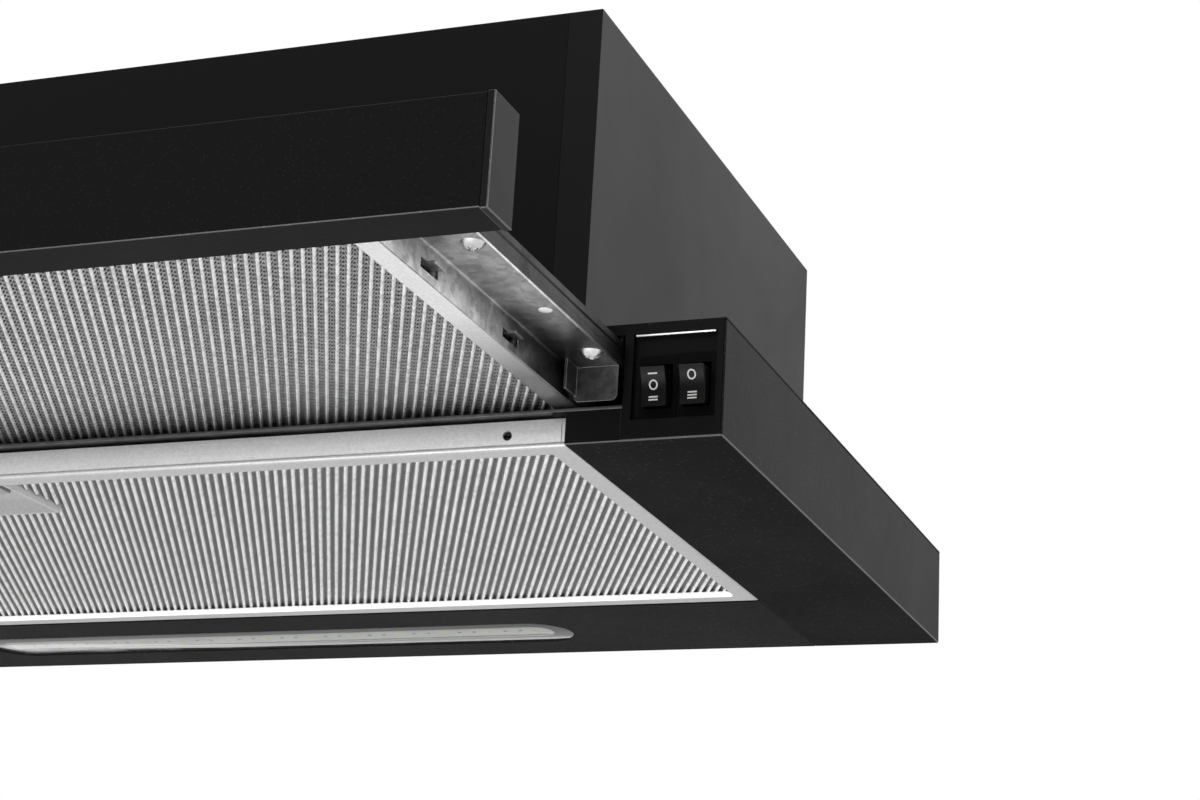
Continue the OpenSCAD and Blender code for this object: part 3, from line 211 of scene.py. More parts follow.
UNEVEN_PATCHES = patches_group()

# %% Zinc spangle
CRYSTAL_WARP = 1.2 * MM
CRYSTAL_SHARE = 0.55
NOISE_MIDDLE = 0.5


def spangle_group():
    group, inside, out = shader_group(
        "zinc_spangle",
        [("Vector", VECTOR, None), ("Scale", FLOAT, 420.0), ("Spread", FLOAT, 0.3)],
        [("Tone", FLOAT), ("Height", FLOAT)])
    warp = add(group, "ShaderNodeTexNoise",
               {"Vector": inside.outputs["Vector"], "Scale": 900.0, "Detail": 3.0})
    bent = add(group, "ShaderNodeVectorMath",
               {0: warp.outputs["Color"], 1: (CRYSTAL_WARP,) * 3}, operation="MULTIPLY")
    moved = add(group, "ShaderNodeVectorMath",
                {0: inside.outputs["Vector"], 1: bent.outputs[0]}, operation="ADD")
    cells = add(group, "ShaderNodeTexVoronoi",
                {"Vector": moved.outputs[0], "Scale": inside.outputs["Scale"]})
    tone = add(group, "ShaderNodeSeparateColor", {"Color": cells.outputs["Color"]})
    fine = add(group, "ShaderNodeTexNoise",
               {"Vector": inside.outputs["Vector"], "Scale": 2300.0, "Detail": 3.0})
    mixed = maths(group, "MULTIPLY_ADD", tone.outputs[0], CRYSTAL_SHARE,
                  maths(group, "MULTIPLY", fine.outputs["Fac"], 1.0 - CRYSTAL_SHARE))
    centred = maths(group, "SUBTRACT", mixed, NOISE_MIDDLE)
    value = maths(group, "MULTIPLY_ADD", centred, inside.outputs["Spread"], 1.0)
    group.links.new(value, out.inputs["Tone"])
    group.links.new(fine.outputs["Fac"], out.inputs["Height"])
    return group


ZINC_SPANGLE = spangle_group()

# %% Rolling streaks
def streaks_group():
    group, inside, out = shader_group(
        "rolling_streaks",
        [("Vector", VECTOR, None), ("Along", VECTOR, (12.0, 1800.0, 1800.0)),
         ("Spread", FLOAT, 0.2)],
        [("Tone", FLOAT), ("Height", FLOAT)])
    stretched = add(group, "ShaderNodeVectorMath",
                    {0: inside.outputs["Vector"], 1: inside.outputs["Along"]},
                    operation="MULTIPLY")
    noise = add(group, "ShaderNodeTexNoise",
                {"Vector": stretched.outputs[0], "Scale": 1.0, "Detail": 4.0})
    centred = maths(group, "SUBTRACT", noise.outputs["Fac"], NOISE_MIDDLE)
    value = maths(group, "MULTIPLY_ADD", centred, inside.outputs["Spread"], 1.0)
    group.links.new(value, out.inputs["Tone"])
    group.links.new(noise.outputs["Fac"], out.inputs["Height"])
    return group


ROLLING_STREAKS = streaks_group()

# %% [markdown]
# Expanded mesh is slit and pulled, so its openings are small diamonds in a staggered lattice.
# Two slanted sawtooth waves make that lattice. The mesh is then pleated, and its ridges run
# across the filter at a turn, so the group first turns the coordinates to lie along them. The
# foil along the crests stays solid, which reads as the bright ribs of a grease filter.

# %% Expanded mesh openings
def openings_group():
    group, inside, out = shader_group(
        "expanded_openings",
        [("Vector", VECTOR, None), ("Middle", VECTOR, (0.0, 0.0, 0.0)), ("Turn", FLOAT, 0.0),
         ("Ridge Pitch", FLOAT, 0.003), ("Hole Pitch", FLOAT, 0.0013), ("Columns", FLOAT, 2.0),
         ("Strand", FLOAT, 0.17), ("Crest", FLOAT, 0.3)],
        [("Open", FLOAT), ("Strand Height", FLOAT), ("From Crest", FLOAT)])
    turned = add(group, "ShaderNodeVectorRotate",
                 {"Vector": inside.outputs["Vector"], "Center": inside.outputs["Middle"],
                  "Angle": maths(group, "MULTIPLY", inside.outputs["Turn"], -1.0)},
                 rotation_type="Z_AXIS")
    local = add(group, "ShaderNodeVectorMath",
                {0: turned.outputs[0], 1: inside.outputs["Middle"]}, operation="SUBTRACT")
    place = add(group, "ShaderNodeSeparateXYZ", {"Vector": local.outputs[0]})
    across = maths(group, "DIVIDE", place.outputs["X"], inside.outputs["Ridge Pitch"])
    along = maths(group, "DIVIDE", place.outputs["Y"], inside.outputs["Hole Pitch"])
    columns = maths(group, "MULTIPLY", across, inside.outputs["Columns"])
    slants = []
    for sign in ("ADD", "SUBTRACT"):
        wave = maths(group, "FRACT", maths(group, sign, columns, along))
        slants.append(maths(group, "ABSOLUTE", maths(group, "SUBTRACT", wave, 0.5)))
    edge = maths(group, "MAXIMUM", slants[0], slants[1])
    hole = maths(group, "LESS_THAN", edge,
                 maths(group, "SUBTRACT", 0.5, inside.outputs["Strand"]))
    phase = maths(group, "FRACT", maths(group, "ADD", across, 0.5))
    from_crest = maths(group, "MULTIPLY",
                       maths(group, "ABSOLUTE", maths(group, "SUBTRACT", phase, 0.5)), 2.0)
    pleat = maths(group, "GREATER_THAN", from_crest, inside.outputs["Crest"])
    group.links.new(maths(group, "MULTIPLY", hole, pleat), out.inputs["Open"])
    group.links.new(edge, out.inputs["Strand Height"])
    group.links.new(from_crest, out.inputs["From Crest"])
    return group


EXPANDED_OPENINGS = openings_group()

# %% [markdown]
# ## Finishes
# A finish starts as one Principled shader. `finish` makes it and hands back its tree, its shader
# and the object coordinates, and each recipe below then joins its groups to them.

# %% Start of a finish
def finish(name, colour, roughness, metallic=0.0, **sockets):
    material = bpy.data.materials.new(name)
    material.use_nodes = True
    tree = material.node_tree
    shader = tree.nodes["Principled BSDF"]
    shader.inputs["Base Color"].default_value = (*colour, 1.0)
    shader.inputs["Roughness"].default_value = roughness
    shader.inputs["Metallic"].default_value = metallic
    for label, value in sockets.items():
        shader.inputs[label.replace("_", " ")].default_value = value
    place = tree.nodes.new("ShaderNodeTexCoord").outputs["Object"]
    return material, tree, shader, place


def group_node(tree, group, **inputs):
    node = tree.nodes.new("ShaderNodeGroup")
    node.node_tree = group
    for label, value in inputs.items():
        socket = node.inputs[label.replace("_", " ")]
        if isinstance(value, bpy.types.NodeSocket):
            tree.links.new(value, socket)
        else:
            socket.default_value = value
    return node


def bump(tree, shader, height, strength, distance):
    node = add(tree, "ShaderNodeBump",
               {"Height": height, "Strength": strength, "Distance": distance})
    tree.links.new(node.outputs["Normal"], shader.inputs["Normal"])


def blend_colours(tree, shader, factor, dark, light):
    mix = add(tree, "ShaderNodeMix", data_type="RGBA")
    mix.inputs["A"].default_value = (*dark, 1.0)
    mix.inputs["B"].default_value = (*light, 1.0)
    tree.links.new(factor, mix.inputs["Factor"])
    tree.links.new(mix.outputs["Result"], shader.inputs["Base Color"])


def grey_socket(tree, shade):
    return add(tree, "ShaderNodeCombineColor", {0: shade, 1: shade, 2: shade}).outputs[0]


def paint_grey(tree, shader, shade):
    tree.links.new(grey_socket(tree, shade), shader.inputs["Base Color"])


def uneven_roughness(tree, shader, place, roughness, below, above, scale):
    patches = group_node(tree, UNEVEN_PATCHES, Vector=place, Scale=scale,
                         Low=roughness - below, High=roughness + above)
    tree.links.new(patches.outputs["Value"], shader.inputs["Roughness"])


BLUE_SHARE = 1.02


def grey(value):
    """A grey with a trace of blue, as black finishes have in daylight."""
    return (value, value, value * BLUE_SHARE)

# %% [markdown]
# The sheet steel is powder coated black. Powder melts into a fine orange peel, which breaks up
# reflections; the light that its peel catches is painted into the colour as tiny pale flecks, a
# painted glint. The lower body shows it most, the fan housing is smoother.

# %% Powder coats
def powder_coat(name, base, fleck, roughness, relief, coarse=700.0, shine=0.1, flecks=900.0):
    material, tree, shader, place = finish(name, base, roughness, Specular_IOR_Level=shine)
    grain = group_node(tree, POWDER_GRAIN, Vector=place, Coarse=coarse, Fleck=flecks)
    uneven_roughness(tree, shader, place, roughness, below=0.05, above=0.07, scale=9.0)
    # Painted glint: pale flecks blended into the colour of the coat.
    blend_colours(tree, shader, grain.outputs["Fleck"], base, fleck)
    bump(tree, shader, grain.outputs["Height"], strength=0.5, distance=relief)
    return material


BODY_COAT = powder_coat("body_coat", grey(0.006), fleck=grey(0.030), roughness=0.62,
                        relief=0.10 * MM, shine=0.10, flecks=780.0)
# The lamp panel and top plate take a darker, less shiny copy of the body coat: painted shade on
# the underside.
TRAY_SHADE_COAT = powder_coat("tray_shade_coat", grey(0.005), fleck=grey(0.032), roughness=0.64,
                        relief=0.10 * MM, shine=0.052, flecks=460.0)
# A darker, less shiny copy of the body coat for the strips that face down: painted shade.
UNDER_SHADE_COAT = powder_coat("under_shade_coat", grey(0.004), fleck=grey(0.028), roughness=0.64,
                         relief=0.10 * MM, shine=0.028, flecks=460.0)
# The visor fascia faces the front and takes a darker, less shiny copy of the coat, a painted
# shade; its coarser orange peel is its own.
FASCIA_SHADE_COAT = powder_coat("fascia_shade_coat", grey(0.004), fleck=grey(0.012), roughness=0.55,
                          relief=0.08 * MM, coarse=420.0, shine=0.05)
HOUSING_COAT = powder_coat("housing_coat", grey(0.006), fleck=grey(0.007), roughness=0.42,
                           relief=0.01 * MM, shine=0.09)
# The front cover of the fan housing takes a darker, duller copy of the housing coat: painted shade
# on the front face.
COVER_SHADE_COAT = powder_coat("cover_shade_coat", grey(0.004), fleck=grey(0.0045), roughness=0.50,
                         relief=0.01 * MM, shine=0.07)

# %% [markdown]
# The bevelled faces of the folds get this second finish, a much paler and glossier copy of the
# coat. It is a painted highlight, which shows as the thin bright lines along the edges of the
# body.

# %% Painted highlight on the folds of the powder coat
EDGE_HIGHLIGHT_COAT = powder_coat("edge_highlight_coat", grey(0.05), fleck=grey(0.12), roughness=0.36,
                        relief=0.02 * MM, shine=0.5)

# %% [markdown]
# The switch panel, bezels and rockers are moulded. Moulded black is a little glossier than powder
# coat and has a spark-eroded grain that is finer and shallower.

# %% Moulded plastics
PALER_SHARE = 1.25


def moulding(name, base, roughness, relief=0.02 * MM, shine=0.45):
    material, tree, shader, place = finish(name, base, roughness, Specular_IOR_Level=shine)
    grain = group_node(tree, POWDER_GRAIN, Vector=place, Fine=5200.0, Coarse=1500.0)
    uneven_roughness(tree, shader, place, roughness, below=0.04, above=0.08, scale=45.0)
    tone = group_node(tree, UNEVEN_PATCHES, Vector=place, Scale=130.0, Low=0.0, High=1.0)
    blend_colours(tree, shader, tone.outputs["Value"], base, tuple(PALER_SHARE * c for c in base))
    bump(tree, shader, grain.outputs["Height"], strength=0.35, distance=relief)
    return material


PANEL_PLASTIC = moulding("panel_plastic", grey(0.003), roughness=0.45, shine=0.065)
SWITCH_PLASTIC = moulding("switch_plastic", grey(0.0015), roughness=0.40, relief=0.01 * MM,
                          shine=0.04)
ROCKER_PLASTIC = moulding("rocker_plastic", grey(0.004), roughness=0.30, relief=0.01 * MM,
                          shine=0.08)
CAP_PLASTIC = moulding("cap_plastic", grey(0.008), roughness=0.34, relief=0.01 * MM,
                       shine=0.045)
BLOWER_PLASTIC = moulding("blower_plastic", grey(0.045), roughness=0.42)
WHITE_PLASTIC = moulding("white_plastic", grey(0.62), roughness=0.45)
SLEEVE_PLASTIC = moulding("sleeve_plastic", grey(0.02), roughness=0.55)
MARK_INK = moulding("mark_ink", (0.42, 0.41, 0.40), roughness=0.5)

# %% [markdown]
# Zinc freezes on hot steel in flat crystals, the spangle. Light catches each crystal a little
# differently, so the group's tone goes into the colour and its fine part into the bump. Handling
# leaves duller patches.

# %% Metals
def shade_toward_rear(tree, place, tone, rear_shade):
    """Darkens a tone from a front place to a rear one, down to the given share: painted shade
    where the part runs in under the hood body.
    """
    front, rear, share = rear_shade
    backward = add(tree, "ShaderNodeSeparateXYZ", {"Vector": place}).outputs["Y"]
    rear_shading = add(tree, "ShaderNodeMapRange",
                 {"Value": backward, "From Min": front, "From Max": rear, "To Min": 1.0,
                  "To Max": share}, clamp=True)
    return maths(tree, "MULTIPLY", tone, rear_shading.outputs["Result"])


def zinc(name, level, roughness, spread=0.5, relief=0.03 * MM, scale=420.0, rear_shade=None,
         patch=(0.72, 1.08, 38.0), metallic=1.0):
    low, high, patch_scale = patch
    material, tree, shader, place = finish(name, grey(level), roughness, metallic)
    spangle = group_node(tree, ZINC_SPANGLE, Vector=place, Scale=scale, Spread=spread)
    patches = group_node(tree, UNEVEN_PATCHES, Vector=place, Scale=patch_scale, Low=low,
                         High=high)
    uneven_roughness(tree, shader, place, roughness, below=0.08, above=0.14, scale=70.0)
    tone = maths(tree, "MULTIPLY", spangle.outputs["Tone"], patches.outputs["Value"])
    if rear_shade:
        tone = shade_toward_rear(tree, place, tone, rear_shade)
    paint_grey(tree, shader, maths(tree, "MULTIPLY", tone, level))
    bump(tree, shader, spangle.outputs["Height"], strength=0.4, distance=relief)
    return material


def rolled(name, level, roughness, along, spread=0.12, relief=0.03 * MM, metallic=1.0, rim=1.0,
           glow=0.0, rear_shade=None):
    # A glow above zero makes the finish shine though it is no lamp: a painted highlight.
    material, tree, shader, place = finish(
        name, grey(level), roughness, metallic, Specular_Tint=(rim, rim, rim, 1.0),
        Emission_Color=(1.0, 1.0, 1.0, 1.0), Emission_Strength=glow)
    streaks = group_node(tree, ROLLING_STREAKS, Vector=place, Along=along, Spread=spread)
    spangle = group_node(tree, ZINC_SPANGLE, Vector=place, Scale=1500.0, Spread=0.25)
    uneven_roughness(tree, shader, place, roughness, below=0.06, above=0.12, scale=55.0)
    tone = maths(tree, "MULTIPLY", streaks.outputs["Tone"], spangle.outputs["Tone"])
    if rear_shade:
        tone = shade_toward_rear(tree, place, tone, rear_shade)
    paint_grey(tree, shader, maths(tree, "MULTIPLY", tone, level))
    bump(tree, shader, spangle.outputs["Height"], strength=0.3, distance=relief)
    return material


ALONG_X = (12.0, 1800.0, 1800.0)
ALONG_Y = (1800.0, 12.0, 1800.0)
ZINC_SHEET = zinc("zinc_sheet", level=0.42, roughness=0.34)
# The brackets are painted darker towards the rear, a painted shade where they run in under the
# hood body.
BRACKET_ZINC = zinc("bracket_zinc", level=0.50, roughness=0.34, spread=0.8,
                    patch=(0.55, 1.15, 55.0), rear_shade=(-0.135, -0.085, 0.25))
# The bevelled edges of the visor brackets take a much paler copy of the zinc: a painted highlight.
ZINC_EDGE_HIGHLIGHT = zinc("zinc_edge_highlight", level=0.90, roughness=0.26, spread=0.3, patch=(0.6, 1.1, 90.0),
                 metallic=0.6)
SLIDE_STEEL = rolled("slide_steel", level=0.08, roughness=0.38, along=ALONG_Y, spread=0.9,
                     rim=0.15)
FRAME_STRIP = rolled("frame_strip", level=0.55, roughness=0.40, along=ALONG_X, metallic=0.55)
# The visor filter frame is painted darker towards the rear, a painted shade where it runs in under
# the hood body.
VISOR_STRIP = rolled("visor_strip", level=0.82, roughness=0.40, along=ALONG_X, metallic=0.50,
                     rear_shade=(-0.140, -0.080, 0.18))
SCREW_ZINC = zinc("screw_zinc", level=0.72, roughness=0.22, spread=0.2, relief=0.01 * MM,
                  scale=1500.0)
BALL_STEEL = rolled("ball_steel", level=0.75, roughness=0.12, along=ALONG_X, spread=0.05,
                    relief=0.002 * MM)
MOTOR_STEEL = zinc("motor_steel", level=0.42, roughness=0.40, spread=0.2)
# Painted highlight: a near-white finish that glows a little, so the rolled edge reads as a white
# line.
BEAD_GLOW_HIGHLIGHT = rolled("bead_glow_highlight", level=0.97, roughness=0.30, along=ALONG_X, spread=0.05,
                     metallic=0.15, glow=0.3)
BAR_ZINC = zinc("bar_zinc", level=0.10, roughness=0.45)
# A near-white trim finish; on the recess edge it is a painted glint, on the rivets their bright
# metal.
BRIGHT_TRIM_AND_GLINT = rolled("bright_trim_and_glint", level=0.90, roughness=0.30, along=ALONG_X, spread=0.8,
                     metallic=0.4)

# %% [markdown]
# The grease mesh is bright aluminium foil with openings. Its openings are cut by transparency,
# since there are tens of thousands, and the pleats themselves are modelled. The crests of the
# pleats are painted lighter, a painted highlight, and the valleys darker, a painted shade. The
# layers between the skins are seen only through the openings, so they are painted in dark shade
# instead of cut.

# %% Grease mesh foil
MESH_TURN = math.radians(26.5)
FOIL_METALLIC = 0.40
STRAND_RELIEF = 0.2 * MM
CREST_LEVEL = 0.98
LAYER_SHADE_LEVEL = 0.04
OPENING_SHADE = 0.85


def foil(name, crest_level, valley_level, roughness, middle, valley_shade_reach, **lattice):
    """A foil with a painted highlight on its crests that fades to painted shade in its valleys,
    with its openings as a mask.
    """
    material, tree, shader, place = finish(name, grey(crest_level), roughness, FOIL_METALLIC)
    openings = group_node(tree, EXPANDED_OPENINGS, Vector=place, Middle=middle, Turn=MESH_TURN,
                          **lattice)
    spangle = group_node(tree, ZINC_SPANGLE, Vector=place, Scale=560.0, Spread=1.0)
    # Painted highlight on the crests, fading to painted shade in the valleys.
    crest_and_valley_shade = add(tree, "ShaderNodeMapRange",
                 {"Value": openings.outputs["From Crest"], "From Min": valley_shade_reach / 2,
                  "From Max": valley_shade_reach, "To Min": crest_level, "To Max": valley_level},
                 clamp=True)
    shade = maths(tree, "MULTIPLY", spangle.outputs["Tone"], crest_and_valley_shade.outputs["Result"])
    bump(tree, shader, openings.outputs["Strand Height"], strength=0.6, distance=STRAND_RELIEF)
    return material, tree, shader, openings.outputs["Open"], shade


def skin_foil(name, valley_level, middle, valley_shade_reach, **lattice):
    material, tree, shader, opening, shade = foil(
        name, CREST_LEVEL, valley_level, 0.34, middle, valley_shade_reach, **lattice)
    paint_grey(tree, shader, shade)
    tree.links.new(maths(tree, "SUBTRACT", 1.0, opening), shader.inputs["Alpha"])
    return material


def layer_foil(name, middle, **lattice):
    material, tree, shader, opening, shade = foil(
        name, LAYER_SHADE_LEVEL, LAYER_SHADE_LEVEL, 0.5, middle, 1.0, **lattice)
    # Painted shade: the layer is nearly black, and its openings are painted darker still for the
    # depth behind them.
    shaded_openings = maths(tree, "MULTIPLY_ADD", opening, -OPENING_SHADE, 1.0)
    paint_grey(tree, shader, maths(tree, "MULTIPLY", shade, shaded_openings))
    return material

# %% [markdown]
# The lamp lens is a clear block, and it bends the light. The board on its back therefore looks as
# if it lay just behind the window, at whatever angle it is seen. Light on its way to the board is
# let straight through, since the board would be lost in noise otherwise.

# %% Lamp finishes
LENS_ROUGHNESS = 0.04
LIGHT_PASSED = 0.95


def lens_finish():
    material, tree, shader, place = finish(
        "lens_clear", (0.50, 0.515, 0.50), LENS_ROUGHNESS, IOR=1.49, Transmission_Weight=1.0,
        Specular_IOR_Level=0.02)
    uneven_roughness(tree, shader, place, LENS_ROUGHNESS, below=0.02, above=0.03, scale=60.0)
    shadow = tree.nodes.new("ShaderNodeLightPath").outputs["Is Shadow Ray"]
    tree.links.new(maths(tree, "MULTIPLY_ADD", shadow, -LIGHT_PASSED, 1.0),
                   shader.inputs["Alpha"])
    return material


LENS_CLEAR = lens_finish()
LENS_BACK_SHADE = moulding("lens_back", (0.02, 0.021, 0.02), roughness=0.5)
BOARD_WHITE = moulding("board_white", (0.80, 0.81, 0.78), roughness=0.40)
PHOSPHOR = moulding("phosphor", (0.86, 0.76, 0.08), roughness=0.35)
PACKAGE_WHITE = moulding("package_white", (0.78, 0.78, 0.72), roughness=0.35)
RESISTOR_BLACK = moulding("resistor_black", grey(0.06), roughness=0.35)
SOLDER = zinc("solder", level=0.75, roughness=0.22, spread=0.15, relief=0.01 * MM,
              scale=2500.0)
print("finishes:", len(bpy.data.materials))

# %% [markdown]
# ## Sheet metal and mouldings from the mechanical model
# Folded sheet never has a razor edge: each fold and cut edge is a small radius that catches a
# thin line of light. The mechanical model is exact and sharp, so each of its pieces is copied,
# its triangles are joined into whole faces, and its edges are bevelled by a few tenths of a
# millimetre. On a few pieces a large face bends round notches and would be filled wrongly, so
# theirs are split into convex faces first.

# %% Selecting and finishing
def select_only(piece):
    bpy.ops.object.select_all(action="DESELECT")
    piece.select_set(True)
    bpy.context.view_layer.objects.active = piece


def apply_modifier(piece, name, kind, **options):
    modifier = piece.modifiers.new(name, kind)
    for option, value in options.items():
        setattr(modifier, option, value)
    select_only(piece)
    bpy.ops.object.modifier_apply(modifier=name)


def bevel(piece, name, width, segments, degrees, **options):
    apply_modifier(piece, name, "BEVEL", width=width, segments=segments, limit_method="ANGLE",
                   angle_limit=math.radians(degrees), **options)


def smooth(piece, degrees=35):
    select_only(piece)
    bpy.ops.object.shade_smooth_by_angle(angle=math.radians(degrees))


WELD_REACH = 0.002 * MM
FLAT_DEGREES = 0.6
FOLD_DEGREES = 40
FOLD_REACH = 0.6 * MM
NOTCHED = ("switch_panel", "blank_panel", "right_side_panel", "left_side_panel", "front_cross_bar",
           "right_end_cap", "left_end_cap")


def give(piece, material, body):
    """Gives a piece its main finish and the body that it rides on."""
    if not piece.data.materials:
        piece.data.materials.append(material)
    piece.data.materials[0] = material
    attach(piece, body)
    return piece


def keep_highlight_on_outer_folds(piece, upright):
    """Leaves the painted highlight of the edge finish along the lowest outer lines, and the
    upright ones if asked.
    """
    half = max(abs(v.co.x) for v in piece.data.vertices)
    front = min(v.co.y for v in piece.data.vertices)
    low = min(v.co.z for v in piece.data.vertices)
    for polygon in piece.data.polygons:
        centre = polygon.center
        outer = (abs(centre.x) > half - FOLD_REACH) + (centre.y < front + FOLD_REACH)
        lowest = centre.z < low + FOLD_REACH
        if not (outer and lowest or outer == 2 and upright):
            polygon.material_index = 0


def softened(node, material, edge, edge_material=None):
    """A copy of a node with joined faces and small radii, which stands for the node."""
    piece = frame["nodes"][node].copy()
    piece.data = piece.data.copy()
    piece.name = f"{node}_softened"
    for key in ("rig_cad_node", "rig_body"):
        if key in piece:
            del piece[key]
    piece.parent = None
    bpy.context.scene.collection.objects.link(piece)
    select_only(piece)
    bpy.ops.object.mode_set(mode="EDIT")
    bpy.ops.mesh.select_all(action="SELECT")
    bpy.ops.mesh.remove_doubles(threshold=WELD_REACH)
    bpy.ops.mesh.dissolve_limited(angle_limit=math.radians(FLAT_DEGREES))
    if node in NOTCHED:
        bpy.ops.mesh.vert_connect_concave()
    bpy.ops.object.mode_set(mode="OBJECT")
    give(piece, material, body_of[node])
    while len(piece.data.materials) > 1:
        piece.data.materials.pop()
    # An edge material is a painted highlight on the bevelled faces.
    if edge_material:
        piece.data.materials.append(edge_material)
    bevel(piece, "edges", edge, 2, FOLD_DEGREES, harden_normals=False,
          material=1 if edge_material else -1)
    if edge_material is EDGE_HIGHLIGHT_COAT:
        keep_highlight_on_outer_folds(piece, upright=material is CAP_PLASTIC)
    smooth(piece)
    apply_modifier(piece, "flat_faces", "WEIGHTED_NORMAL", keep_sharp=True, weight=80)
    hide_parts(node)
    return piece


SOFTENED = {
    BODY_COAT: (0.40, EDGE_HIGHLIGHT_COAT, ["right_side_panel", "left_side_panel"]),
    TRAY_SHADE_COAT: (0.30, None, ["lamp_panel", "top_plate"]),
    FASCIA_SHADE_COAT: (0.30, EDGE_HIGHLIGHT_COAT, ["visor_fascia"]),
    HOUSING_COAT: (0.35, None, ["housing_wrap", "housing_top"]),
    COVER_SHADE_COAT: (0.30, None, ["housing_front"]),
    PANEL_PLASTIC: (0.25, None, ["switch_panel", "blank_panel", "duct_collar", "terminal_box"]),
    SWITCH_PLASTIC: (0.25, None, ["fan_switch_body", "light_switch_body"]),
    ROCKER_PLASTIC: (0.35, None, ["fan_rocker", "light_rocker"]),
    CAP_PLASTIC: (0.35, EDGE_HIGHLIGHT_COAT, ["right_end_cap", "left_end_cap"]),
    BRACKET_ZINC: (0.30, ZINC_EDGE_HIGHLIGHT, ["right_visor_bracket", "left_visor_bracket"]),
    ZINC_SHEET: (0.30, None, ["visor_cross_rail", "fixed_filter_latch", "visor_filter_latch"]),
    BAR_ZINC: (0.30, None, ["front_cross_bar"]),
    SLIDE_STEEL: (0.18, None, ["right_slide_channel", "left_slide_channel"]),
    FRAME_STRIP: (0.30, None, ["fixed_filter_frame"]),
    VISOR_STRIP: (0.30, None, ["visor_filter_frame"]),
}
dressed = {}
for material, (edge, edge_material, nodes) in SOFTENED.items():
    for node in nodes:
        dressed[node] = softened(node, material, edge * MM, edge_material)
print("pieces with softened edges:", len(dressed))

# %% [markdown]
# Pieces deep inside the hood are rounded or small already, so they keep their own shape and only
# take a finish.

# %% Inner pieces
KEPT = {
    ZINC_SHEET: ["right_inner_wall", "left_inner_wall", "right_slide_hanger",
                 "left_slide_hanger", "motor_bracket"],
    SLIDE_STEEL: ["right_slide_rail", "left_slide_rail", "right_ball_cage", "left_ball_cage"],
    BALL_STEEL: ["right_slide_balls", "left_slide_balls", "motor_shaft"],
    BLOWER_PLASTIC: ["scroll_left", "scroll_right", "impeller", "front_flap", "rear_flap"],
    MOTOR_STEEL: ["motor"],
    WHITE_PLASTIC: ["capacitor", "led_driver"],
    BOARD_WHITE: ["led_board"],
    SLEEVE_PLASTIC: ["wiring_loom", "cable_gland"],
    SCREW_ZINC: ["bracket_screws", "housing_screws", "duct_screws", "blower_screws"],
}
for material, nodes in KEPT.items():
    for node in nodes:
        piece = frame["nodes"][node]
        piece.data.materials.clear()
        piece.data.materials.append(material)
        smooth(piece)
print("inner pieces:", sum(len(nodes) for nodes in KEPT.values()))

# %% [markdown]
# ## Pleated grease mesh
# Each filter is a stack of expanded aluminium mesh: two pleated outer skins and flat layers
# between them. A skin is a fine grid that follows a wave across its ridges. It is turned to the
# angle of the ridges, trimmed to the frame with bisect, and Solidify gives the foil its
# thickness.

# %% Sheets of mesh
STEPS_PER_RIDGE = 8
ROWS = 12
FOIL_T = 0.25 * MM
RIDGE_RISE = 1.5 * MM
RIDGE_SHARPNESS = 1.3
LAYER_COLUMNS = 24
BAY_HALF = 26.4 * MM
BAY_DEPTH = 42.8 * MM
LAYER_SHARES = (0.40, 0.60)


def square_grid(name, reach, columns):
    """A grid about the origin, fine across the ridges and coarse along them."""
    bpy.ops.object.select_all(action="DESELECT")
    bpy.ops.mesh.primitive_grid_add(x_subdivisions=columns, y_subdivisions=ROWS, size=2 * reach)
    sheet = bpy.context.object
    sheet.name = name
    return sheet


def pleat(sheet, pitch, rise):
    """Lifts the points between the ridges, so that the ridges are narrow and point down."""
    for vertex in sheet.data.vertices:
        vertex.co.z = rise * abs(math.sin(math.pi * vertex.co.x / pitch)) ** RIDGE_SHARPNESS


def trim(sheet, low, high):
    """Turns the sheet to its angle and cuts it to the frame and round the latch bay."""
    select_only(sheet)
    sheet.rotation_euler.z = MESH_TURN
    sheet.location = ((low.x + high.x) / 2, (low.y + high.y) / 2, sheet.location.z)
    bpy.ops.object.transform_apply(location=True, rotation=True, scale=True)
    bpy.ops.object.mode_set(mode="EDIT")
    for place, outward in (((low.x, 0, 0), (-1, 0, 0)), ((high.x, 0, 0), (1, 0, 0)),
                           ((0, low.y, 0), (0, -1, 0)), ((0, high.y, 0), (0, 1, 0))):
        bpy.ops.mesh.select_all(action="SELECT")
        bpy.ops.mesh.bisect(plane_co=place, plane_no=outward, clear_outer=True)
    for place, outward in (((-BAY_HALF, 0, 0), (-1, 0, 0)), ((BAY_HALF, 0, 0), (1, 0, 0)),
                           ((0, low.y + BAY_DEPTH, 0), (0, 1, 0))):
        bpy.ops.mesh.select_all(action="SELECT")
        bpy.ops.mesh.bisect(plane_co=place, plane_no=outward)
    bpy.ops.mesh.select_mode(type="FACE")
    bpy.ops.mesh.select_all(action="DESELECT")
    bpy.ops.object.mode_set(mode="OBJECT")
    for polygon in sheet.data.polygons:
        centre = polygon.center
        polygon.select = abs(centre.x) < BAY_HALF and centre.y < low.y + BAY_DEPTH
    bpy.ops.object.mode_set(mode="EDIT")
    bpy.ops.mesh.delete(type="FACE")
    bpy.ops.object.mode_set(mode="OBJECT")

# %% Mesh packs
def mesh_sheet(name, node, z, pitch, rise, material):
    low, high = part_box(node)
    reach = math.hypot(high.x - low.x, high.y - low.y) / 2
    ridges = math.ceil(reach / pitch)
    columns = 2 * ridges * STEPS_PER_RIDGE if rise else LAYER_COLUMNS
    sheet = square_grid(name, ridges * pitch, columns)
    if rise:
        pleat(sheet, pitch, rise)
    sheet.location.z = z
    trim(sheet, low, high)
    apply_modifier(sheet, "foil", "SOLIDIFY", thickness=FOIL_T, offset=-1.0 if rise < 0 else 1.0)
    smooth(sheet, 50)
    return give(sheet, material, body_of[node])


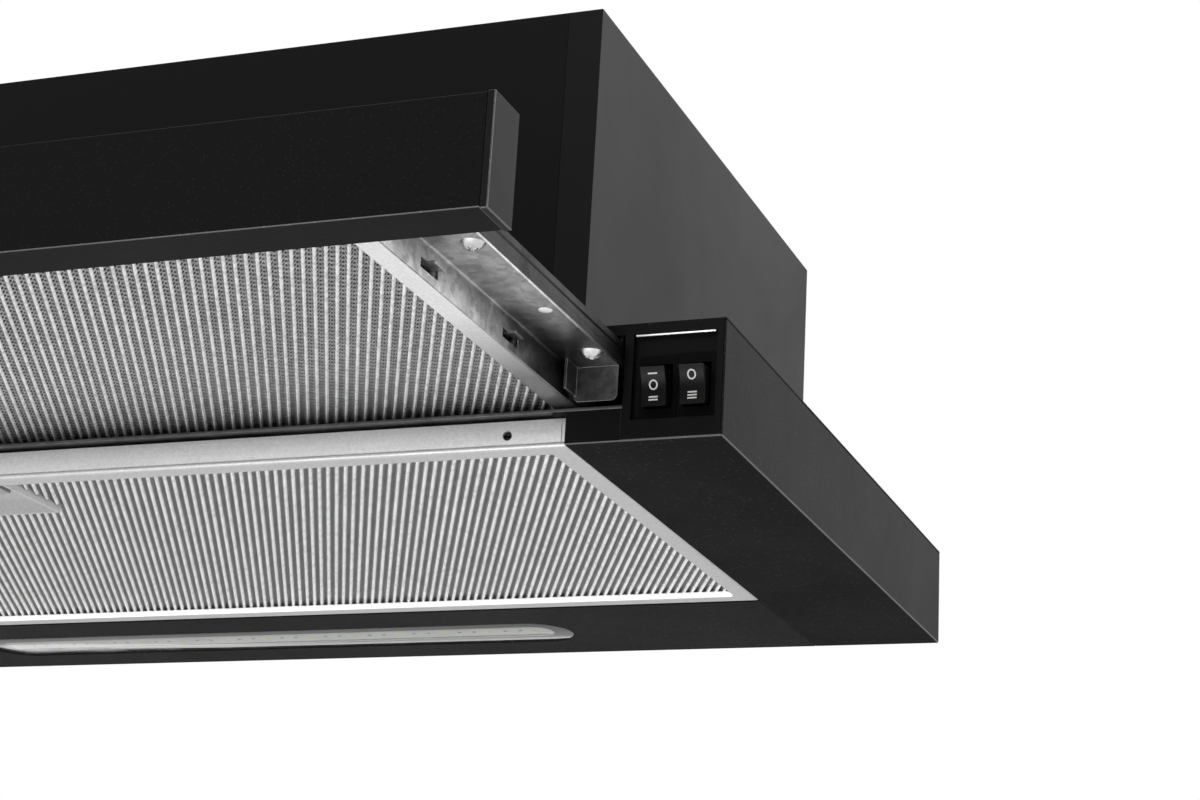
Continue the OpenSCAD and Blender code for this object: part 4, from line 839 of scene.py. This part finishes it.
def mesh_pack(node, pitch, hole_pitch, valley_shade_reach, crest, valley_level):
    low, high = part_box(node)
    middle = ((low.x + high.x) / 2, (low.y + high.y) / 2, 0.0)
    outer = skin_foil(f"{node}_skin_foil", valley_level, middle, valley_shade_reach, Ridge_Pitch=pitch,
                      Hole_Pitch=hole_pitch, Columns=2.0, Strand=0.12, Crest=crest)
    inner = layer_foil(f"{node}_layer_foil", middle, Ridge_Pitch=0.7 * pitch,
                       Hole_Pitch=hole_pitch, Columns=1.0, Strand=0.2, Crest=0.0)
    sheets = [mesh_sheet(f"{node}_lower_skin", node, low.z, pitch, RIDGE_RISE, outer),
              mesh_sheet(f"{node}_upper_skin", node, high.z, pitch, -RIDGE_RISE, outer)]
    for number, share in enumerate(LAYER_SHARES, 1):
        height = low.z + share * (high.z - low.z)
        sheets.append(mesh_sheet(f"{node}_layer_{number}", node, height, pitch, 0, inner))
    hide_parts(node)
    print(node, "triangles:", sum(2 * len(s.data.polygons) for s in sheets))


# Besides the pitches, each pack gets how far from its crests the painted shade starts and how dark
# its valleys are painted.
mesh_pack("fixed_filter_mesh", pitch=3.05 * MM, hole_pitch=3.0 * MM, valley_shade_reach=0.66, crest=0.42,
          valley_level=0.22)
mesh_pack("visor_filter_mesh", pitch=3.25 * MM, hole_pitch=3.4 * MM, valley_shade_reach=0.46, crest=0.30,
          valley_level=0.42)

# %% [markdown]
# ## Small pieces
# Each of these starts as a primitive, is shaped in edit mode, and ends as one object with its
# place in its mesh. What repeats is modelled once, and every copy gets its own mesh before all
# are joined.

# %% Shaping helpers
def block(name, low, high):
    bpy.ops.object.select_all(action="DESELECT")
    bpy.ops.mesh.primitive_cube_add(size=1, location=(low + high) / 2, scale=high - low)
    piece = bpy.context.object
    piece.name = name
    bpy.ops.object.transform_apply(location=True, rotation=True, scale=True)
    return piece


def select_faces(piece, wanted):
    """Edit mode with only the wanted faces selected."""
    select_only(piece)
    bpy.ops.object.mode_set(mode="EDIT")
    bpy.ops.mesh.select_mode(type="FACE")
    bpy.ops.mesh.select_all(action="DESELECT")
    bpy.ops.object.mode_set(mode="OBJECT")
    for polygon in piece.data.polygons:
        polygon.select = wanted(polygon)
    bpy.ops.object.mode_set(mode="EDIT")


def paint_selected(piece, material):
    """Gives the selected faces another finish and leaves edit mode."""
    piece.data.materials.append(material)
    piece.active_material_index = len(piece.data.materials) - 1
    bpy.ops.object.material_slot_assign()
    bpy.ops.object.mode_set(mode="OBJECT")


def joined(name, pieces):
    bpy.ops.object.select_all(action="DESELECT")
    for piece in pieces:
        piece.select_set(True)
    bpy.context.view_layer.objects.active = pieces[0]
    bpy.ops.object.join()
    whole = bpy.context.object
    whole.name = name
    return whole


def row_of(piece, offsets):
    """Copies of a piece at the given offsets from it."""
    row = []
    for offset in offsets:
        twin = piece.copy()
        twin.data = piece.data.copy()
        twin.data.transform(Matrix.Translation(offset))
        bpy.context.scene.collection.objects.link(twin)
        row.append(twin)
    bpy.data.objects.remove(piece)
    return row

# %% [markdown]
# The strips of the side panels that face down take a darker, less shiny copy of the coat, and
# their front lips take the darker panel plastic. Both are painted shade on faces that get less
# light than the sides. Their faces are picked by their direction.

# %% Painted shade on the underside strips and lips
FACING = 0.98
for node in ("right_side_panel", "left_side_panel"):
    # Painted shade: downward faces take the darker underside coat, front faces the darker panel
    # plastic.
    select_faces(dressed[node], lambda face: face.normal.z < -FACING)
    paint_selected(dressed[node], UNDER_SHADE_COAT)
    select_faces(dressed[node], lambda face: face.normal.y < -FACING)
    paint_selected(dressed[node], PANEL_PLASTIC)
    print(node, "finishes:", [material.name for material in dressed[node].data.materials])

# %% [markdown]
# ## Lamp lens
# The window, its flange and the seat of the board are one block. It starts as a flat circle whose
# halves are drawn apart. From there it is extruded and inset upwards to the seat, and downwards
# to the window. The seat laps the board by a hair, as if glued to it, and the back of the flange
# is painted dark, a painted shade for the hood's dark inside seen through the glass.

# %% Lens block
LENS_SIDES = 64
LENS_HALF = 131.0 * MM
FLANGE_R = 21.0 * MM
WINDOW_R = 16.8 * MM
SEAT_R = 8.0 * MM
SHEET_T = 0.8 * MM
FLANGE_T = 1.6 * MM
SEAT_LAP = 0.05 * MM
LENS_EDGE = 0.3 * MM
LEVEL_REACH = 0.01 * MM
lens_low, lens_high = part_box("lamp_lens")
lens_y = (lens_low.y + lens_high.y) / 2


def step_out(piece, inset, rise):
    """Insets the outermost flat face of the block on the side of the rise and moves it out."""
    level = (max if rise > 0 else min)(v.co.z for v in piece.data.vertices)
    select_faces(piece, lambda face: abs(face.center.z - level) < LEVEL_REACH
                 and abs(face.normal.z) > FACING)
    if inset:
        bpy.ops.mesh.inset(thickness=inset)
    bpy.ops.mesh.extrude_region_move(TRANSFORM_OT_translate={"value": (0, 0, rise)})
    bpy.ops.object.mode_set(mode="OBJECT")


def lens_block():
    bpy.ops.object.select_all(action="DESELECT")
    bpy.ops.mesh.primitive_circle_add(vertices=LENS_SIDES, radius=FLANGE_R, fill_type="NGON",
                                      location=(0, lens_y, SHEET_T),
                                      rotation=(0, 0, math.pi / LENS_SIDES))
    piece = bpy.context.object
    piece.name = "lamp_lens_block"
    bpy.ops.object.transform_apply(location=True, rotation=True, scale=True)
    for vertex in piece.data.vertices:
        vertex.co.x += math.copysign(LENS_HALF, vertex.co.x)
    step_out(piece, 0, FLANGE_T)
    piece.data.materials.append(LENS_CLEAR)
    step_out(piece, FLANGE_R - SEAT_R, lens_high.z - SHEET_T - FLANGE_T + SEAT_LAP)
    step_out(piece, FLANGE_R - WINDOW_R, lens_low.z - SHEET_T)
    # Painted shade: the back of the flange is dark, for the hood's dark inside behind it.
    select_faces(piece, lambda face: abs(face.center.z - SHEET_T - FLANGE_T) < LEVEL_REACH)
    paint_selected(piece, LENS_BACK_SHADE)
    select_only(piece)
    bpy.ops.object.mode_set(mode="EDIT")
    bpy.ops.mesh.select_all(action="SELECT")
    bpy.ops.mesh.normals_make_consistent(inside=False)
    bpy.ops.object.mode_set(mode="OBJECT")
    bevel(piece, "edges", LENS_EDGE, 2, 60)
    smooth(piece)
    give(piece, LENS_CLEAR, body_of["lamp_lens"])
    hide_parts("lamp_lens")
    return piece


print("lens block faces:", len(lens_block().data.polygons))

# %% [markdown]
# ## LED strip
# An LED of this kind is a white moulded package with a sunken window of yellow phosphor. Inset
# with a negative depth makes the window. Two small resistors with tinned ends sit between
# neighbours. Their ends are extruded from a dark middle.

# %% LEDs and resistors
LED_COUNT = 13
LED_W = 3.5 * MM
LED_D = 2.8 * MM
LED_H = 0.8 * MM
LED_WALL = 0.25 * MM
LED_SINK = 0.2 * MM
LED_RIM = 0.06 * MM
RESISTOR = Vector((1.0, 1.1, 0.45)) * MM
RESISTOR_END = 0.35 * MM
RESISTOR_SHARES = (0.34, 0.66)
strip_low, strip_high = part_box("leds")
board_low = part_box("led_board")[0]
led_pitch = (strip_high.x - strip_low.x - LED_W) / (LED_COUNT - 1)
strip_y = (strip_low.y + strip_high.y) / 2


def led_package():
    place = Vector((strip_low.x, strip_y - LED_D / 2, board_low.z - LED_H))
    package = block("led_package", place, place + Vector((LED_W, LED_D, LED_H)))
    package.data.materials.append(PACKAGE_WHITE)
    select_faces(package, lambda face: face.normal.z < -FACING)
    bpy.ops.mesh.inset(thickness=LED_WALL)
    bpy.ops.mesh.inset(thickness=LED_SINK, depth=-LED_SINK)
    paint_selected(package, PHOSPHOR)
    return package


def resistor():
    place = Vector((strip_low.x + LED_W / 2 - RESISTOR.x / 2, strip_y - RESISTOR.y / 2,
                    board_low.z - RESISTOR.z))
    chip = block("resistor", place, place + RESISTOR)
    chip.data.materials.append(RESISTOR_BLACK)
    for side in (-1, 1):
        select_faces(chip, lambda face: face.normal.x * side > FACING)
        bpy.ops.mesh.extrude_region_move(
            TRANSFORM_OT_translate={"value": (side * RESISTOR_END, 0, 0)})
        bpy.ops.object.mode_set(mode="OBJECT")
    reach = RESISTOR.x / 2
    centre = place.x + reach
    select_faces(chip, lambda face: abs(face.center.x - centre) > reach)
    paint_selected(chip, SOLDER)
    return chip


packages = row_of(led_package(), [Vector((i * led_pitch, 0, 0)) for i in range(LED_COUNT)])
strip = joined("led_packages", packages)
bevel(strip, "rims", LED_RIM, 1, FOLD_DEGREES)
give(strip, PACKAGE_WHITE, body_of["leds"])
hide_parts("leds")
chips = row_of(resistor(), [Vector(((i + share) * led_pitch, 0, 0))
                            for i in range(LED_COUNT - 1) for share in RESISTOR_SHARES])
give(joined("led_resistors", chips), RESISTOR_BLACK, body_of["led_board"])
print("LEDs:", len(packages), "resistors:", len(chips), "pitch:", round(led_pitch / MM, 2), "mm")

# %% [markdown]
# ## Marks on the rockers
# The marks are thin printed figures on a hollow face. They are drawn flat, given a little
# thickness, and then every point is laid on the arc of the face and turned with the rocker. A
# ring is a filled circle, inset and emptied.

# %% Drawing flat marks
MARK_T = 0.05 * MM
RING_W = 3.0 * MM
RING_H = 3.4 * MM
RING_STROKE = 0.5 * MM
BAR_W = 3.1 * MM
BAR_H = 0.5 * MM
ROCKER_H = 13 * MM
FACE_DIP = 1.4 * MM
FACE_REACH = 8.7 * MM
ROCKER_TILT = math.radians(12)
face_radius = (ROCKER_H ** 2 / 4 + FACE_DIP ** 2) / (2 * FACE_DIP)


def ring_mark(height):
    bpy.ops.object.select_all(action="DESELECT")
    bpy.ops.mesh.primitive_circle_add(vertices=40, radius=RING_W / 2, fill_type="NGON",
                                      location=(0, height, 0))
    ring = bpy.context.object
    ring.scale.y = RING_H / RING_W
    bpy.ops.object.transform_apply(location=True, rotation=True, scale=True)
    select_faces(ring, lambda face: True)
    bpy.ops.mesh.inset(thickness=RING_STROKE)
    bpy.ops.mesh.delete(type="FACE")
    bpy.ops.object.mode_set(mode="OBJECT")
    return ring


def bar_mark(height):
    bpy.ops.object.select_all(action="DESELECT")
    bpy.ops.mesh.primitive_plane_add(size=1, location=(0, height, 0))
    bar = bpy.context.object
    bar.scale = (BAR_W, BAR_H, 1)
    bpy.ops.object.transform_apply(location=True, rotation=True, scale=True)
    return bar


def lay_on_rocker(marks, joint_name):
    """Lays flat marks on the hollow face of a rocker that tips about its joint."""
    joint = next(j for j in record["behaviour"]["joints"] if j["name"] == joint_name)
    face_middle = -(FACE_REACH - FACE_DIP) - face_radius
    place = (Matrix.Translation(Vector(joint["pos_m"]))
             @ Matrix.Rotation(ROCKER_TILT, 4, "X"))
    for vertex in marks.data.vertices:
        angle = vertex.co.y / face_radius
        radius = face_radius - vertex.co.z
        flat = Vector((vertex.co.x, face_middle + radius * math.cos(angle),
                       radius * math.sin(angle)))
        vertex.co = place @ flat

# %% Marks of both rockers
MARKS = {
    "fan_rocker": [(bar_mark, 4.3), (ring_mark, 0.6), (bar_mark, -3.35), (bar_mark, -4.35)],
    "light_rocker": [(ring_mark, 3.2), (bar_mark, -2.5), (bar_mark, -3.5), (bar_mark, -4.5)],
}
for node, drawn in MARKS.items():
    marks = joined(f"{node}_marks", [draw(height * MM) for draw, height in drawn])
    apply_modifier(marks, "ink", "SOLIDIFY", thickness=MARK_T, offset=1.0)
    lay_on_rocker(marks, f"{node}_tip")
    give(marks, MARK_INK, body_of[node])
    print(marks.name, "figures:", len(drawn))

# %% [markdown]
# ## Bright trims
# The rear bar of the fixed filter ends in a rolled edge, painted near white and glowing a little
# as a painted highlight, so that it reads as one white line, with a round end short of the corner.
# A thin near-white rod along the top of the switch recess is a painted glint on its edge. Both are
# rods with rounded ends. A flat rivet fills the middle hole of each visor bracket.

# %% Rods and rivets
END_SHARE = 0.9


def rounded_rod(name, start, end, radius, material, node):
    bpy.ops.object.select_all(action="DESELECT")
    bpy.ops.mesh.primitive_cylinder_add(vertices=24, radius=radius, depth=(end - start).length,
                                        location=(start + end) / 2, rotation=(0, math.pi / 2, 0))
    rod = bpy.context.object
    rod.name = name
    bpy.ops.object.transform_apply(location=True, rotation=True, scale=True)
    bevel(rod, "ends", END_SHARE * radius, 4, 60)
    smooth(rod, 60)
    return give(rod, material, body_of[node])


BEAD_R = 1.15 * MM
BEAD_HALF = 237.4 * MM
BEAD_IN = 12.2 * MM
filter_low, filter_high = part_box("fixed_filter_frame")
bead_y = filter_high.y - BEAD_IN
bead_z = filter_low.z + BEAD_R
rounded_rod("fixed_filter_rear_bead", Vector((-BEAD_HALF, bead_y, bead_z)),
            Vector((BEAD_HALF, bead_y, bead_z)), BEAD_R, BEAD_GLOW_HIGHLIGHT, "fixed_filter_frame")

# Painted glint: a thin near-white rod on the top edge of the recess.
RECESS_LEFT = 269.0 * MM
RECESS_RIGHT = 296.4 * MM
RECESS_TOP = 35.75 * MM
RECESS_EDGE_R = 0.3 * MM
recess_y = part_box("switch_panel")[0].y + RECESS_EDGE_R
rounded_rod("recess_top_glint", Vector((RECESS_LEFT, recess_y, RECESS_TOP)),
            Vector((RECESS_RIGHT, recess_y, RECESS_TOP)), RECESS_EDGE_R, BRIGHT_TRIM_AND_GLINT,
            "switch_panel")

RIVET_R = 2.25 * MM
RIVET_PLACE = Vector((260.75, -112.0, 24.9)) * MM
RIVET_T = 0.5 * MM
RIVET_RIM = 0.35 * RIVET_R
RIVET_SINK = 0.15 * MM


def rivet(side):
    bpy.ops.object.select_all(action="DESELECT")
    bpy.ops.mesh.primitive_cylinder_add(
        vertices=32, radius=RIVET_R, depth=RIVET_T,
        location=(side * RIVET_PLACE.x, RIVET_PLACE.y, RIVET_PLACE.z))
    piece = bpy.context.object
    bpy.ops.object.transform_apply(location=True, rotation=True, scale=True)
    select_faces(piece, lambda face: face.normal.z < -FACING)
    bpy.ops.mesh.inset(thickness=RIVET_RIM, depth=RIVET_SINK)
    bpy.ops.object.mode_set(mode="OBJECT")
    return piece


rivets = joined("bracket_rivets", [rivet(1), rivet(-1)])
smooth(rivets, 40)
give(rivets, BRIGHT_TRIM_AND_GLINT, body_of["right_visor_bracket"])
print("rivet faces:", len(rivets.data.polygons))

# %% [markdown]
# ## Studio
# The hood hangs in a plain white studio. White seen by the camera, in metal and through glass
# comes from the ray type, so the light that falls on the object can stay softer than white. The
# floor is lifted in the same way and keeps its shadows. Seen from below it is clear, so that the
# hood can be looked at from underneath.

# %% Studio world
WORLD_LEVEL = 0.34


def seen_rays(tree):
    """One for a ray that sees a surface directly, in a mirror or through glass."""
    path = tree.nodes.new("ShaderNodeLightPath")
    mirrored = maths(tree, "MAXIMUM", path.outputs["Is Glossy Ray"],
                     path.outputs["Is Transmission Ray"])
    return maths(tree, "MAXIMUM", path.outputs["Is Camera Ray"], mirrored)


def studio_world():
    world = bpy.data.worlds.new("studio")
    bpy.context.scene.world = world
    world.use_nodes = True
    tree = world.node_tree
    background = tree.nodes["Background"]
    level = maths(tree, "MULTIPLY_ADD", seen_rays(tree), 1.0 - WORLD_LEVEL, WORLD_LEVEL)
    tree.links.new(grey_socket(tree, level), background.inputs["Color"])
    background.inputs["Strength"].default_value = 1.0


studio_world()

# %% Floor and lamps
FLOOR_Z = -0.75
FLOOR_SIZE = 12
FLOOR_LEVEL = 0.78
FLOOR_ROUGHNESS = 0.8
FLOOR_LIFT = 0.3
SOFTBOXES = {  # place, target, width and height in metres, power in watts
    "under_front_box": ((0.1, -1.0, -0.62), (0.0, 0.0, 0.0), 1.2, 0.7, 14),
    "right_box": ((1.6, 0.9, 0.7), (0.1, 0.0, 0.08), 1.0, 1.2, 16),
    "top_box": ((-0.3, -0.2, 1.7), (0.0, 0.0, 0.1), 1.6, 1.2, 22),
}


def floor():
    bpy.ops.object.select_all(action="DESELECT")
    bpy.ops.mesh.primitive_plane_add(size=FLOOR_SIZE, location=(0, 0, FLOOR_Z))
    ground = bpy.context.object
    ground.name = "studio_floor"
    material, tree, shader, place = finish("floor_paper", (FLOOR_LEVEL,) * 3, FLOOR_ROUGHNESS,
                                           Emission_Color=(1.0, 1.0, 1.0, 1.0))
    uneven_roughness(tree, shader, place, FLOOR_ROUGHNESS, below=0.05, above=0.05, scale=3.0)
    tree.links.new(maths(tree, "MULTIPLY", seen_rays(tree), FLOOR_LIFT),
                   shader.inputs["Emission Strength"])
    under = tree.nodes.new("ShaderNodeNewGeometry").outputs["Backfacing"]
    tree.links.new(maths(tree, "SUBTRACT", 1.0, under), shader.inputs["Alpha"])
    ground.data.materials.append(material)


def softbox(name, place, target, width, height, power):
    data = bpy.data.lights.new(name, "AREA")
    data.shape = "RECTANGLE"
    data.size = width
    data.size_y = height
    data.energy = power
    lamp = bpy.data.objects.new(name, data)
    bpy.context.scene.collection.objects.link(lamp)
    lamp.visible_camera = False
    away = (Vector(place) - Vector(target)).normalized()
    facing = away.to_track_quat("Z", "Y").to_matrix().to_4x4()
    lamp.matrix_world = Matrix.Translation(place) @ facing


floor()
for name, setting in SOFTBOXES.items():
    softbox(name, *setting)
print("softboxes:", len(SOFTBOXES))
